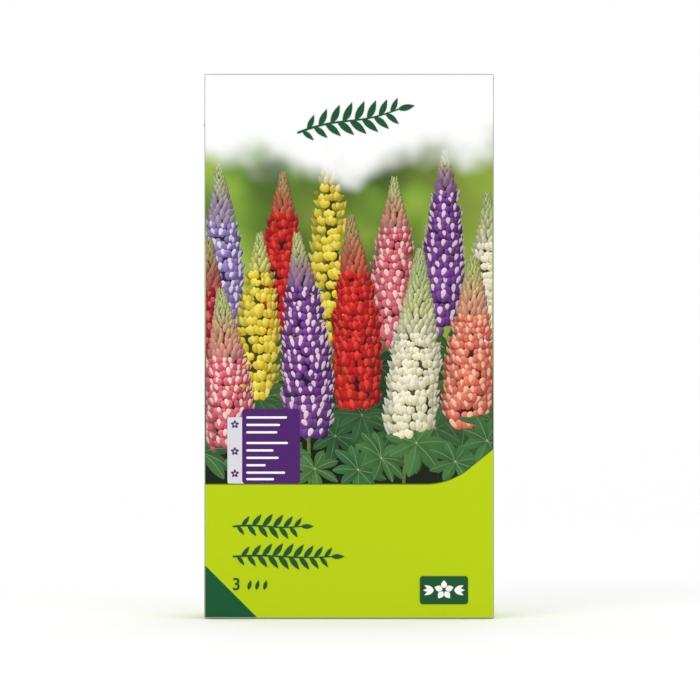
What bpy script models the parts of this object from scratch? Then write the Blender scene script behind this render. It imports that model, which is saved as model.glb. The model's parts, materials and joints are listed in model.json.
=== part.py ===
"""A straight-tuck folding carton of bare-root garden perennials: the glued board sleeve with its top
lid, tuck flap and two dust flaps, a film bag of peat inside it, and three dormant root crowns.
Metres, +Z up. The printed front faces -Y, and the origin is the middle of the base."""

import math
import random

import bmesh
import bpy
from mathutils import Vector

MM = 0.001

# The carton's outside, and the board it is folded from
WIDTH = 125 * MM
DEPTH = 45 * MM
HEIGHT = 235 * MM
BOARD = 0.6 * MM
FOLD_RADIUS = 0.8 * MM
GAP = 0.3 * MM

# The glued bottom: three layers of board, seen from below as the outer flap with its two free edges
BOTTOM_LAYERS = 3
BOTTOM = BOTTOM_LAYERS * BOARD
FLAP_GROOVE_WIDTH = 0.4 * MM
FLAP_GROOVE_DEPTH = 0.5 * MM
OUTER_FLAP_INSET = 2 * MM

# The glue seam inside the back left corner
SEAM_WIDTH = 15 * MM

# Vent holes in the two narrow sides
VENT_RADIUS = 4 * MM
VENT_HEIGHTS = (60 * MM, 110 * MM, 160 * MM)
VENT_SIDES = 24

# The lid turns about the top of the back wall
HINGE_RADIUS = BOARD / 2
LID_AXIS_Y = DEPTH / 2 - HINGE_RADIUS
LID_AXIS_Z = HEIGHT - HINGE_RADIUS
LID_HALF_WIDTH = WIDTH / 2 - 0.5 * MM

# The tuck flap turns about the lid's front edge and slides down behind the front wall
TUCK_CLEARANCE = 1.0 * MM
TUCK_AXIS_Y = -DEPTH / 2 + BOARD + TUCK_CLEARANCE + HINGE_RADIUS
TUCK_LENGTH = 12 * MM
TUCK_HALF_WIDTH = WIDTH / 2 - 3 * MM
TUCK_CORNER = 9 * MM
CREASE_GAP = 0.7 * MM
LID_FRONT_Y = TUCK_AXIS_Y + HINGE_RADIUS + CREASE_GAP

# The dust flaps turn about the tops of the side walls, one layer of board and a gap under the lid
DUST_AXIS_X = WIDTH / 2 - HINGE_RADIUS
DUST_AXIS_Z = LID_AXIS_Z - BOARD - GAP
DUST_REACH = 36 * MM
DUST_FRONT_Y = -19.8 * MM
DUST_BACK_Y = 20.7 * MM
DUST_FRONT_TAPER = 5 * MM
DUST_BACK_TAPER = 13 * MM

# Tops of the walls, each just below the flap that folds from it
FRONT_TOP = HEIGHT - 0.2 * MM
BACK_TOP = LID_AXIS_Z - HINGE_RADIUS - GAP
SIDE_TOP = DUST_AXIS_Z - HINGE_RADIUS - GAP

# The film bag: full and square where the peat fills it, pinched flat towards its open mouth
FILM = 0.3 * MM
BAG_HALF_X = WIDTH / 2 - BOARD - 0.6 * MM
BAG_FRONT_Y = -DEPTH / 2 + BOARD + 0.6 * MM
BAG_BACK_Y = DEPTH / 2 - 2 * BOARD - 0.4 * MM
BAG_CORNER = 6 * MM
BAG_BOTTOM = BOTTOM + GAP
BAG_SHOULDER = 152 * MM
BAG_TOP = 190 * MM
BAG_MOUTH_HALF_Y = 7 * MM
BAG_CENTRE_Y = (BAG_FRONT_Y + BAG_BACK_Y) / 2
BAG_HALF_Y = (BAG_BACK_Y - BAG_FRONT_Y) / 2

# The peat fills the bag to a lumpy top and holds one root in each of three conical holes
PEAT_INSET = FILM + GAP
PEAT_BOTTOM = BAG_BOTTOM + PEAT_INSET
PEAT_TOP = 148 * MM
PEAT_LUMP = 0.9 * MM
CROWN_SPACING = 38 * MM
CROWN_COUNT = 3
HOLE_BOTTOM = 30 * MM
HOLE_TOP = PEAT_TOP + 4 * MM
HOLE_BOTTOM_RADIUS = 4.5 * MM
HOLE_TOP_RADIUS = 14.5 * MM
HOLE_SIDES = 28

# A root crown: a knobbly head at the peat's surface, a taproot, side roots, buds and dead stubs
COLLAR_Z = 145 * MM
ROOT_TIP_Z = HOLE_BOTTOM + 3 * MM
HEAD_LEVELS = (
    (ROOT_TIP_Z, 0.12),
    (50 * MM, 0.34),
    (75 * MM, 0.44),
    (100 * MM, 0.52),
    (120 * MM, 0.62),
    (133 * MM, 0.80),
    (140 * MM, 0.95),
    (COLLAR_Z, 1.0),
    (149 * MM, 0.90),
    (152 * MM, 0.62),
    (153.5 * MM, 0.25),
)
HEAD_SIDES = 16
SIDE_ROOTS = 6
ROOT_SIDES = 9
BUDS = 7
BUD_FOOT_Z = 149 * MM
BUD_RADIUS = 2.1 * MM
BUD_LEAN = 0.14
BUD_SHAPE = ((0, 0.85), (0.25, 1.0), (0.5, 0.88), (0.75, 0.55), (1.0, 0.12))
STUBS = 2
STUB_FROM_MIDDLE = 3.5 * MM
STUB_LEAN = 0.25
STUB_RADII = (2.0 * MM, 1.75 * MM, 1.6 * MM)


def clear_scene():
    for thing in list(bpy.data.objects):
        bpy.data.objects.remove(thing, do_unlink=True)


def material(name, colour, roughness):
    made = bpy.data.materials.new(name)
    made.use_nodes = True
    shader = made.node_tree.nodes["Principled BSDF"]
    shader.inputs["Base Color"].default_value = (*colour, 1)
    shader.inputs["Roughness"].default_value = roughness
    shader.inputs["Metallic"].default_value = 0
    return made


def add_object(name, mesh_data, surface=None, origin=(0, 0, 0), parent=None):
    """One object from a bmesh in world coordinates, with its own origin and an optional parent."""
    place = Vector(origin)
    bmesh.ops.recalc_face_normals(mesh_data, faces=mesh_data.faces)
    bmesh.ops.translate(mesh_data, verts=mesh_data.verts, vec=-place)
    mesh = bpy.data.meshes.new(name)
    mesh_data.to_mesh(mesh)
    mesh_data.free()
    made = bpy.data.objects.new(name, mesh)
    bpy.context.scene.collection.objects.link(made)
    made.location = place
    if parent:
        made.parent = parent
        made.location = place - parent.location
    if surface:
        mesh.materials.append(surface)
    return made


def prism(outline, direction):
    """A bmesh solid: the outline's points in order, extruded along direction."""
    solid = bmesh.new()
    face = solid.faces.new([solid.verts.new(p) for p in outline])
    side = bmesh.ops.extrude_face_region(solid, geom=[face])
    moved = [v for v in side["geom"] if isinstance(v, bmesh.types.BMVert)]
    bmesh.ops.translate(solid, verts=moved, vec=direction)
    return solid


def box(low, high):
    x0, y0, z0 = low
    x1, y1, z1 = high
    outline = [(x0, y0, z0), (x1, y0, z0), (x1, y1, z0), (x0, y1, z0)]
    return prism(outline, (0, 0, z1 - z0))


def round_box_outline(half_x, half_y, centre_y, radius, corner_steps, z, long_steps=1, short_steps=1):
    """A rounded rectangle's points, anticlockwise from above, with extra points on its straight sides."""
    points = []
    sides = [
        ((half_x - radius, half_y - radius), 0, long_steps),
        ((-half_x + radius, half_y - radius), 90, short_steps),
        ((-half_x + radius, -half_y + radius), 180, long_steps),
        ((half_x - radius, -half_y + radius), 270, short_steps),
    ]
    for index, ((cx, cy), start, steps) in enumerate(sides):
        for step in range(corner_steps + 1):
            angle = math.radians(start + 90 * step / corner_steps)
            points.append((cx + radius * math.cos(angle), cy + radius * math.sin(angle)))
        (nx, ny), next_start, _ = sides[(index + 1) % 4]
        angle = math.radians(next_start)
        end = (nx + radius * math.cos(angle), ny + radius * math.sin(angle))
        begin = points[-1]
        for step in range(1, steps):
            share = step / steps
            points.append((begin[0] + (end[0] - begin[0]) * share, begin[1] + (end[1] - begin[1]) * share))
    return [(x, y + centre_y, z) for x, y in points]


def loft(rings):
    """A closed bmesh skin through rings of equal length, in order from the first to the last."""
    skin = bmesh.new()
    made = [[skin.verts.new(p) for p in ring] for ring in rings]
    for lower, upper in zip(made, made[1:]):
        count = len(lower)
        for index in range(count):
            after = (index + 1) % count
            skin.faces.new((lower[index], lower[after], upper[after], upper[index]))
    skin.faces.new(list(reversed(made[0])))
    skin.faces.new(made[-1])
    return skin


def cut(target, cutter, solver="EXACT"):
    """Takes the cutter's shape out of the target, and hides the cutter."""
    cutter.hide_render = True
    cutter.display_type = "WIRE"
    trim = target.modifiers.new(cutter.name, "BOOLEAN")
    trim.operation = "DIFFERENCE"
    trim.solver = solver
    trim.object = cutter


def bevel_root(solid, chosen, radius):
    """Rounds the two long edges of a flap's root, so that it turns on its own board's thickness."""
    edges = [e for e in solid.edges if chosen(e)]
    bmesh.ops.bevel(solid, geom=edges, offset=radius * 0.97, segments=3, profile=0.5, affect="EDGES")
    return solid


def along(edge, axis, value):
    """True where both ends of the edge have this coordinate, within a hundredth of a millimetre."""
    return all(abs(v.co[axis] - value) < 0.01 * MM for v in edge.verts)


def make_carton(board):
    """The sleeve of four walls with its glued bottom, one folded and glued piece of board."""
    outline = round_box_outline(WIDTH / 2, DEPTH / 2, 0, FOLD_RADIUS, 3, 0)
    body = add_object("carton_body", prism(outline, (0, 0, FRONT_TOP)), board)

    inside = round_box_outline(
        WIDTH / 2 - BOARD, DEPTH / 2 - BOARD, 0, FOLD_RADIUS - BOARD, 2, BOTTOM
    )
    cut(body, add_object("cut_inside", prism(inside, (0, 0, HEIGHT))))

    inner_y = DEPTH / 2 - BOARD
    for side in (-1, 1):
        x0, x1 = sorted((side * (WIDTH / 2 - BOARD - GAP), side * (WIDTH / 2 + GAP)))
        low = (x0, -inner_y, SIDE_TOP)
        high = (x1, inner_y, HEIGHT)
        cut(body, add_object(f"cut_side_top_{side}", box(low, high)))
        for index, height in enumerate(VENT_HEIGHTS):
            ring = [
                (
                    side * (WIDTH / 2 - 2 * BOARD),
                    VENT_RADIUS * math.cos(2 * math.pi * k / VENT_SIDES),
                    height + VENT_RADIUS * math.sin(2 * math.pi * k / VENT_SIDES),
                )
                for k in range(VENT_SIDES)
            ]
            cut(body, add_object(f"cut_vent_{side}_{index}", prism(ring, (side * 3 * BOARD, 0, 0))))

    back_low = (-WIDTH, inner_y - GAP, BACK_TOP)
    cut(body, add_object("cut_back_top", box(back_low, (WIDTH, DEPTH, HEIGHT + GAP))))

    free_y = DEPTH / 2 - OUTER_FLAP_INSET
    half_x = WIDTH / 2 - OUTER_FLAP_INSET
    long_low = (-half_x, free_y - FLAP_GROOVE_WIDTH, -GAP)
    cut(body, add_object("cut_flap_edge", box(long_low, (half_x, free_y, FLAP_GROOVE_DEPTH))))
    for side in (-1, 1):
        x0, x1 = sorted((side * half_x, side * (half_x - FLAP_GROOVE_WIDTH)))
        low = (x0, -DEPTH / 2 + OUTER_FLAP_INSET, -GAP)
        cut(body, add_object(f"cut_flap_end_{side}", box(low, (x1, free_y, FLAP_GROOVE_DEPTH))))

    seam_low = (-WIDTH / 2 + BOARD / 2, DEPTH / 2 - 2 * BOARD, BOTTOM / 2)
    seam_high = (-WIDTH / 2 + BOARD + SEAM_WIDTH, DEPTH / 2 - BOARD / 2, BACK_TOP - 3 * MM)
    seam = add_object("join_seam", box(seam_low, seam_high))
    seam.hide_render = True
    seam.display_type = "WIRE"
    join = body.modifiers.new("join_seam", "BOOLEAN")
    join.operation = "UNION"
    join.solver = "EXACT"
    join.object = seam


def make_lid(board):
    """The top panel, hinged on the back wall."""
    low = (-LID_HALF_WIDTH, LID_FRONT_Y, HEIGHT - BOARD)
    solid = box(low, (LID_HALF_WIDTH, LID_AXIS_Y + HINGE_RADIUS, HEIGHT))
    bevel_root(solid, lambda e: along(e, 1, LID_AXIS_Y + HINGE_RADIUS) and not along_end(e), HINGE_RADIUS)
    return add_object("lid", solid, board, (0, LID_AXIS_Y, LID_AXIS_Z))


def along_end(edge):
    """True for the short edges across the board's thickness."""
    return (edge.verts[0].co - edge.verts[1].co).length < 2 * BOARD


def make_tuck_flap(board, lid):
    """The flap at the lid's front edge, with rounded lower corners."""
    top = LID_AXIS_Z + HINGE_RADIUS
    bottom = LID_AXIS_Z - TUCK_LENGTH
    outline = [(-TUCK_HALF_WIDTH, top), (TUCK_HALF_WIDTH, top)]
    for start, sign in ((0, 1), (90, -1)):
        centre_x = sign * (TUCK_HALF_WIDTH - TUCK_CORNER)
        for step in range(7):
            angle = math.radians(start + 15 * step)
            outline.append(
                (centre_x + TUCK_CORNER * math.cos(angle), bottom + TUCK_CORNER - TUCK_CORNER * math.sin(angle))
            )
    back_y = TUCK_AXIS_Y + HINGE_RADIUS
    solid = prism([(x, back_y, z) for x, z in outline], (0, -BOARD, 0))
    bevel_root(solid, lambda e: along(e, 2, top) and not along_end(e), HINGE_RADIUS)
    return add_object("tuck_flap", solid, board, (0, TUCK_AXIS_Y, LID_AXIS_Z), lid)


def make_dust_flap(board, side, name):
    """A tapered flap that folds in from a side wall, under the lid."""
    root = DUST_AXIS_X + HINGE_RADIUS
    tip = DUST_AXIS_X - DUST_REACH
    shoulder = DUST_AXIS_X - 4 * MM
    outline = [
        (root, DUST_FRONT_Y),
        (root, DUST_BACK_Y),
        (shoulder, DUST_BACK_Y),
        (tip, DUST_BACK_Y - DUST_BACK_TAPER),
        (tip, DUST_FRONT_Y + DUST_FRONT_TAPER),
        (shoulder, DUST_FRONT_Y),
    ]
    bottom = DUST_AXIS_Z - HINGE_RADIUS
    solid = prism([(side * x, y, bottom) for x, y in outline], (0, 0, BOARD))
    bevel_root(solid, lambda e: along(e, 0, side * root) and not along_end(e), HINGE_RADIUS)
    return add_object(name, solid, board, (side * DUST_AXIS_X, 0, DUST_AXIS_Z))


def bag_half_y(z):
    """Half the bag's thickness at a height: full up to the shoulder, then eased in to its mouth."""
    share = min(max((z - BAG_SHOULDER) / (BAG_TOP - BAG_SHOULDER), 0), 1)
    eased = share * share * (3 - 2 * share)
    return BAG_HALF_Y + (BAG_MOUTH_HALF_Y - BAG_HALF_Y) * eased


def bag_ring(z, inset):
    """One ring of the bag's skin, with a few soft waves across its face above the peat."""
    half_y = bag_half_y(z)
    radius = min(BAG_CORNER, half_y - 0.5 * MM) - inset
    ring = round_box_outline(BAG_HALF_X - inset, half_y - inset, BAG_CENTRE_Y, radius, 4, z, 12, 2)
    loose = min(max((z - BAG_SHOULDER) / (BAG_TOP - BAG_SHOULDER), 0), 1)
    wave = 1.4 * MM * loose
    edge = BAG_HALF_X - BAG_CORNER
    moved = []
    for x, y, height in ring:
        calm = max(0, 1 - (x / edge) ** 2)
        moved.append((x, y + wave * calm * math.sin(x / (9 * MM)), height))
    return moved


def make_bag(film):
    heights = [BAG_BOTTOM, 40 * MM, 80 * MM, 120 * MM, BAG_SHOULDER]
    for step in range(1, 7):
        heights.append(BAG_SHOULDER + (BAG_TOP - BAG_SHOULDER) * step / 6)
    outside = [bag_ring(z, 0) for z in heights]
    heights[0] = BAG_BOTTOM + FILM
    inside = [bag_ring(z, FILM) for z in reversed(heights)]
    return add_object("inner_bag", loft(outside + inside), film)


def hole_radius(z):
    """The root hole's radius at a height."""
    share = (z - HOLE_BOTTOM) / (HOLE_TOP - HOLE_BOTTOM)
    return HOLE_BOTTOM_RADIUS + (HOLE_TOP_RADIUS - HOLE_BOTTOM_RADIUS) * share


def peat_lump(x, y):
    """The crumbly top's height above its mean, a sum of two waves."""
    return PEAT_LUMP * (
        math.sin(x / (5.1 * MM) + 1.3) * math.cos(y / (4.3 * MM))
        + 0.6 * math.sin(x / (11 * MM) - y / (7.7 * MM))
    )


def make_peat(peat):
    half_x = BAG_HALF_X - PEAT_INSET
    half_y = BAG_HALF_Y - PEAT_INSET
    radius = BAG_CORNER - PEAT_INSET
    rings = [
        round_box_outline(half_x, half_y, BAG_CENTRE_Y, radius, 4, z, 14, 4)
        for z in (PEAT_BOTTOM, PEAT_TOP / 2, PEAT_TOP - 2.5 * MM)
    ]
    for share in (1, 0.86, 0.7, 0.52, 0.34, 0.16):
        ring = round_box_outline(half_x, half_y, BAG_CENTRE_Y, radius, 4, PEAT_TOP, 14, 4)
        inner = []
        for x, y, _ in ring:
            reach = half_x - (1 - share) * half_y
            nx = x * reach / half_x
            ny = BAG_CENTRE_Y + (y - BAG_CENTRE_Y) * share
            inner.append((nx, ny, PEAT_TOP + peat_lump(nx, ny) * min(1, 2 * (1 - share) + 0.4)))
        rings.append(inner)
    block = add_object("peat_block", loft(rings), peat)
    for index in range(CROWN_COUNT):
        x = crown_x(index)
        cone = [
            [
                (
                    x + radius * math.cos(2 * math.pi * k / HOLE_SIDES),
                    BAG_CENTRE_Y + radius * math.sin(2 * math.pi * k / HOLE_SIDES),
                    z,
                )
                for k in range(HOLE_SIDES)
            ]
            for z, radius in ((HOLE_BOTTOM, HOLE_BOTTOM_RADIUS), (HOLE_TOP, HOLE_TOP_RADIUS))
        ]
        cut(block, add_object(f"cut_hole_{index}", loft(cone)), "MANIFOLD")


def crown_x(index):
    return (index - (CROWN_COUNT - 1) / 2) * CROWN_SPACING


def tube(points, radii, sides, turn=0.0):
    """A closed round skin along a path of points, with a radius at each."""
    rings = []
    for index, point in enumerate(points):
        before = points[max(index - 1, 0)]
        after = points[min(index + 1, len(points) - 1)]
        forward = (after - before).normalized()
        across = forward.orthogonal().normalized()
        if abs(forward.z) > 0.3:
            across = (Vector((1, 0, 0)) - forward * forward.x).normalized()
        other = forward.cross(across)
        ring = []
        for k in range(sides):
            angle = 2 * math.pi * k / sides + turn
            ring.append(point + radii[index] * (across * math.cos(angle) + other * math.sin(angle)))
        rings.append(ring)
    return loft(rings)


def kept_inside(x, y, z, radius):
    """Moves a root's point towards the hole's axis where its skin would leave the hole."""
    most = hole_radius(z) * math.cos(math.pi / HOLE_SIDES) - GAP - radius
    far = math.hypot(x, y)
    if far <= most or far == 0:
        return x, y
    return x * max(most, 0) / far, y * max(most, 0) / far


def root_path(random_draw, angle, start_z, end_z, spread, thick, steps=7):
    """A side root's points and radii: it leaves the taproot, bows out and drops to its tip."""
    points = []
    radii = []
    sway = random_draw.uniform(0.4, 1.0)
    for step in range(steps + 1):
        share = step / steps
        z = start_z + (end_z - start_z) * share
        radius = thick * (1 - 0.78 * share) + 0.25 * MM
        far = spread * math.sin(min(share * 2.2, 1.0) * math.pi / 2)
        turned = angle + sway * share * 1.4
        wobble = 0.7 * MM * math.sin(7 * share + 3 * sway)
        x, y = kept_inside(
            far * math.cos(turned) + wobble, far * math.sin(turned) - wobble, z, radius
        )
        points.append(Vector((x, y, z)))
        radii.append(radius)
    return points, radii


def make_crown(root_skin, index):
    """One dormant plant: head, taproot, side roots, buds and stubs, grown as one body."""
    draw = random.Random(40 + index)
    place = Vector((crown_x(index), BAG_CENTRE_Y, 0))
    pieces = []

    rings = []
    for z, share in HEAD_LEVELS:
        full = min(hole_radius(z), hole_radius(PEAT_TOP)) * math.cos(math.pi / HOLE_SIDES) - GAP
        ring = []
        for k in range(HEAD_SIDES):
            angle = 2 * math.pi * k / HEAD_SIDES
            knob = 1 - 0.10 * (1 + math.sin(3 * angle + 60 * z / HEIGHT + index))
            knob -= 0.04 * (1 + math.sin(5 * angle - 90 * z / HEIGHT))
            if abs(z - COLLAR_Z) < MM:
                knob = 1 - 0.06 * (1 - math.cos(4 * angle + index))
            radius = full * share * knob
            ring.append(Vector((radius * math.cos(angle), radius * math.sin(angle), z)))
        rings.append(ring)
    pieces.append(loft(rings))

    for k in range(SIDE_ROOTS):
        angle = 2 * math.pi * (k + draw.uniform(-0.25, 0.25)) / SIDE_ROOTS
        start_z = draw.uniform(112, 134) * MM
        end_z = draw.uniform(40, 78) * MM
        spread = draw.uniform(6.5, 9.5) * MM
        thick = draw.uniform(1.3, 2.3) * MM
        points, radii = root_path(draw, angle, start_z, end_z, spread, thick)
        pieces.append(tube(points, radii, ROOT_SIDES - 2, draw.uniform(0, 1)))

    for k in range(BUDS):
        angle = 2 * math.pi * (k + draw.uniform(-0.2, 0.2)) / BUDS
        far = (0 if k == 0 else draw.uniform(5.0, 8.0)) * MM
        height = draw.uniform(8, 13) * MM
        foot = Vector((far * math.cos(angle), far * math.sin(angle), BUD_FOOT_Z))
        lean = Vector((math.cos(angle) * BUD_LEAN, math.sin(angle) * BUD_LEAN, 1))
        points = [foot + lean * (height * share) for share, _ in BUD_SHAPE]
        radii = [BUD_RADIUS * swell for _, swell in BUD_SHAPE]
        pieces.append(tube(points, radii, ROOT_SIDES, draw.uniform(0, 1)))

    for k in range(STUBS):
        angle = draw.uniform(0, 2 * math.pi)
        outward = Vector((math.cos(angle), math.sin(angle), 0))
        foot = outward * STUB_FROM_MIDDLE + Vector((0, 0, BUD_FOOT_Z))
        lean = outward * STUB_LEAN + Vector((0, 0, 1))
        length = draw.uniform(13, 18) * MM
        points = [foot + lean * (length * share) for share in (0, 0.5, 1)]
        pieces.append(tube(points, STUB_RADII, ROOT_SIDES, 0.2))

    for piece in pieces:
        bmesh.ops.translate(piece, verts=piece.verts, vec=place)
    name = f"lupin_crown_{index + 1}"
    return fuse(name, pieces, root_skin)


def fuse(name, pieces, surface):
    """Joins closed shapes into one body by a union on a collection, then removes the shapes."""
    body = add_object(name, pieces[0], surface)
    holder = bpy.data.collections.new(f"{name}_pieces")
    bpy.context.scene.collection.children.link(holder)
    for number, piece in enumerate(pieces[1:]):
        made = add_object(f"{name}_piece_{number}", piece)
        bpy.context.scene.collection.objects.unlink(made)
        holder.objects.link(made)
    join = body.modifiers.new("join", "BOOLEAN")
    join.operation = "UNION"
    join.operand_type = "COLLECTION"
    join.collection = holder
    join.solver = "MANIFOLD"
    with bpy.context.temp_override(object=body, active_object=body, selected_objects=[body]):
        bpy.ops.object.modifier_apply(modifier=join.name)
    for made in list(holder.objects):
        bpy.data.objects.remove(made, do_unlink=True)
    bpy.data.collections.remove(holder)
    body.data.shade_smooth()
    body.data.set_sharp_from_angle(angle=math.radians(50))
    return body


def main():
    clear_scene()
    printed_board = material("printed_board", (0.48, 0.62, 0.02), 0.45)
    plain_board = material("plain_board", (0.72, 0.70, 0.64), 0.75)
    film = material("film", (0.85, 0.87, 0.86), 0.3)
    peat = material("peat", (0.055, 0.032, 0.018), 0.95)
    root_skin = material("root_skin", (0.33, 0.19, 0.10), 0.85)

    make_carton(printed_board)
    lid = make_lid(printed_board)
    make_tuck_flap(printed_board, lid)
    make_dust_flap(plain_board, -1, "dust_flap_left")
    make_dust_flap(plain_board, 1, "dust_flap_right")
    make_bag(film)
    make_peat(peat)
    for index in range(CROWN_COUNT):
        make_crown(root_skin, index)


main()
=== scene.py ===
# %% [markdown]
# A folding carton of bare-root lupin crowns. The CAD frame gives each board panel, the film bag, the
# peat and the crowns at their real places. This lesson dresses them: printed board, a pressed picture
# of a flower bed, creased fold lines, crinkled film, crumbly peat and fibrous roots.

# %% Load the frame
import json
import math
import random

import bpy
import numpy as np
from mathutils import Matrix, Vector, noise

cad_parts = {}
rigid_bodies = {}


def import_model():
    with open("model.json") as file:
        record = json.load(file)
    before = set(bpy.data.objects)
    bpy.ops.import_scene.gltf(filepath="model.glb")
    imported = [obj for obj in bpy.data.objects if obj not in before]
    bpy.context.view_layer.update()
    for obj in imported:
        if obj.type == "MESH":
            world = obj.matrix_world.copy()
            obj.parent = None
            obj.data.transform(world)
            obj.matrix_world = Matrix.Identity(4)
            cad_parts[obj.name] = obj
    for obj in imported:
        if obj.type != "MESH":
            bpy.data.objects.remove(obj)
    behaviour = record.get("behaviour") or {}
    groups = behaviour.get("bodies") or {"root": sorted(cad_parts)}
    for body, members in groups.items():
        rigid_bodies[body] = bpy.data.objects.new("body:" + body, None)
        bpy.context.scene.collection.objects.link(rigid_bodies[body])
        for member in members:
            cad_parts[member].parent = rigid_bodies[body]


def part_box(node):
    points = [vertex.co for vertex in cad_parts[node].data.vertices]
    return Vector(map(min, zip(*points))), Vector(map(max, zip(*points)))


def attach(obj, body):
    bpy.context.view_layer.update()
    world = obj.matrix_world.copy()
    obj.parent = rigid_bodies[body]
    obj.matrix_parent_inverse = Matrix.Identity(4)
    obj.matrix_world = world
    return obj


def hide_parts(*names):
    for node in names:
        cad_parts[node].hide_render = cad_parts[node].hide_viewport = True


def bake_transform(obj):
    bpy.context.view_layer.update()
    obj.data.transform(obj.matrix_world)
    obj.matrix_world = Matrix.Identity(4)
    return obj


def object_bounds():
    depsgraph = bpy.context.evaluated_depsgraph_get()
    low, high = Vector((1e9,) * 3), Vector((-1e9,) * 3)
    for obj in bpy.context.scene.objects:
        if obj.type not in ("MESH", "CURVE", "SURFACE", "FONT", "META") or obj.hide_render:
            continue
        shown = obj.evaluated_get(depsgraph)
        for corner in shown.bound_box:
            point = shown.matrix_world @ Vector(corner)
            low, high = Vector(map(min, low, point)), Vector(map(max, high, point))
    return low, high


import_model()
cad_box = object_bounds()
MM = 0.001
low, high = cad_box
WIDTH = high.x - low.x
DEPTH = high.y - low.y
HEIGHT = high.z - low.z
FRONT_Y = low.y
print("carton", [round(v / MM, 1) for v in (WIDTH, DEPTH, HEIGHT)], "mm")

# %% [markdown]
# The photograph looks straight at the printed front. A long lens from far off shows the front as the
# flat rectangle it is, and a lens this long keeps the narrow sides out of sight behind it. The front's
# left edge, base and height are named pixels of the 700 px picture, and the height fixes the scale.

# %% Camera
PICTURE_PX = 700
FRONT_LEFT_PX = 204.3
FRONT_BASE_PX = 618.2
FRONT_HEIGHT_PX = 544.7
PX = HEIGHT / FRONT_HEIGHT_PX
LENS = 200
SENSOR = 36
camera_data = bpy.data.cameras.new("camera")
camera_data.lens = LENS
camera_data.sensor_width = SENSOR
camera_data.clip_end = 20
camera = bpy.data.objects.new("camera", camera_data)
bpy.context.scene.collection.objects.link(camera)
camera_far = PICTURE_PX * PX * LENS / SENSOR
camera.location = (
    low.x + (PICTURE_PX / 2 - FRONT_LEFT_PX) * PX,
    FRONT_Y - camera_far,
    (FRONT_BASE_PX - PICTURE_PX / 2) * PX,
)
camera.rotation_euler = (math.radians(90), 0, 0)
bpy.context.scene.camera = camera
print("camera", round(camera_far, 3), "m from the front")

# %% [markdown]
# The backdrop is a sheet of white paper that curves up behind the carton, so that no horizon shows.
# It could be a plane with a wall, but the curve keeps the light even from floor to background.


# %% Selection and colour helpers
def clean_slate():
    """Nothing selected, so that the next operator acts on the new primitive alone."""
    if bpy.context.mode != "OBJECT":
        bpy.ops.object.mode_set(mode="OBJECT")
    bpy.ops.object.select_all(action="DESELECT")


def linear(red, green, blue):
    """A print colour given as the eye reads it, 0 to 255, as the light values a shader works in."""
    return tuple(
        (c / 255 / 12.92) if c / 255 <= 0.04045 else ((c / 255 + 0.055) / 1.055) ** 2.4
        for c in (red, green, blue)
    )


def plain_material(name, colour, roughness, specular):
    made = bpy.data.materials.new(name)
    made.use_nodes = True
    shader = made.node_tree.nodes["Principled BSDF"]
    shader.inputs["Base Color"].default_value = (*colour, 1)
    shader.inputs["Roughness"].default_value = roughness
    shader.inputs["Specular IOR Level"].default_value = specular
    return made


print("mid grey", round(linear(128, 128, 128)[0], 3), "in the shader's light values")

# %% Backdrop
SWEEP_HALF = 3.0
SWEEP_FRONT = -3.0
SWEEP_BEND = 0.9
SWEEP_RADIUS = 0.8
SWEEP_TOP = 3.0
SWEEP_STEPS = 16
SWEEP_BELOW = 0.0004
SWEEP_GLOW = 0.07
clean_slate()
bpy.ops.mesh.primitive_plane_add(size=1)
backdrop = bpy.context.object
backdrop.name = "backdrop"
sweep = [(SWEEP_FRONT, 0.0), (SWEEP_BEND, 0.0)]
for step in range(1, SWEEP_STEPS + 1):
    climb = math.radians(90 * step / SWEEP_STEPS)
    sweep.append((SWEEP_BEND + SWEEP_RADIUS * math.sin(climb), SWEEP_RADIUS * (1 - math.cos(climb))))
sweep.append((SWEEP_BEND + SWEEP_RADIUS, SWEEP_TOP))
points = [(side * SWEEP_HALF, y, z - SWEEP_BELOW) for y, z in sweep for side in (-1, 1)]
faces = [(2 * k, 2 * k + 1, 2 * k + 3, 2 * k + 2) for k in range(len(sweep) - 1)]
backdrop.data.clear_geometry()
backdrop.data.from_pydata(points, [], faces)
backdrop.data.shade_smooth()
paper = plain_material("white_paper_sweep", (0.99, 0.99, 0.99), 0.95, 0.05)
paper_shader = paper.node_tree.nodes["Principled BSDF"]
paper_shader.inputs["Emission Color"].default_value = (1, 1, 1, 1)
paper_shader.inputs["Emission Strength"].default_value = SWEEP_GLOW
backdrop.data.materials.append(paper)
print("backdrop", len(faces), "strips")

# %% [markdown]
# A softly lit studio: an even white surround gives the print its true colours, and two large soft
# boxes above give the board's edges a gentle light and shade. A picture of a sky could light the scene
# instead, but it would tint the white board.

# %% Light
SURROUND = 0.80
MIDDLE = (0, 0, HEIGHT / 2)
world = bpy.data.worlds.new("studio")
bpy.context.scene.world = world
world.use_nodes = True
world.node_tree.nodes["Background"].inputs["Color"].default_value = (1, 1, 1, 1)
world.node_tree.nodes["Background"].inputs["Strength"].default_value = SURROUND
bpy.context.scene.view_settings.view_transform = "Standard"
bpy.context.scene.view_settings.look = "None"


def soft_box(name, place, size, power):
    """A square area light that faces the middle of the carton."""
    lamp = bpy.data.lights.new(name, "AREA")
    lamp.shape = "SQUARE"
    lamp.size = size
    lamp.energy = power
    made = bpy.data.objects.new(name, lamp)
    bpy.context.scene.collection.objects.link(made)
    made.location = place
    made.rotation_mode = "QUATERNION"
    made.rotation_quaternion = (Vector(MIDDLE) - Vector(place)).to_track_quat("-Z", "Y")


soft_box("key_light", (-1.1, -1.5, 1.6), 1.2, 9.0)
soft_box("fill_light", (1.3, -1.4, 1.0), 1.4, 5.0)
print("surround", SURROUND)

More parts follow.
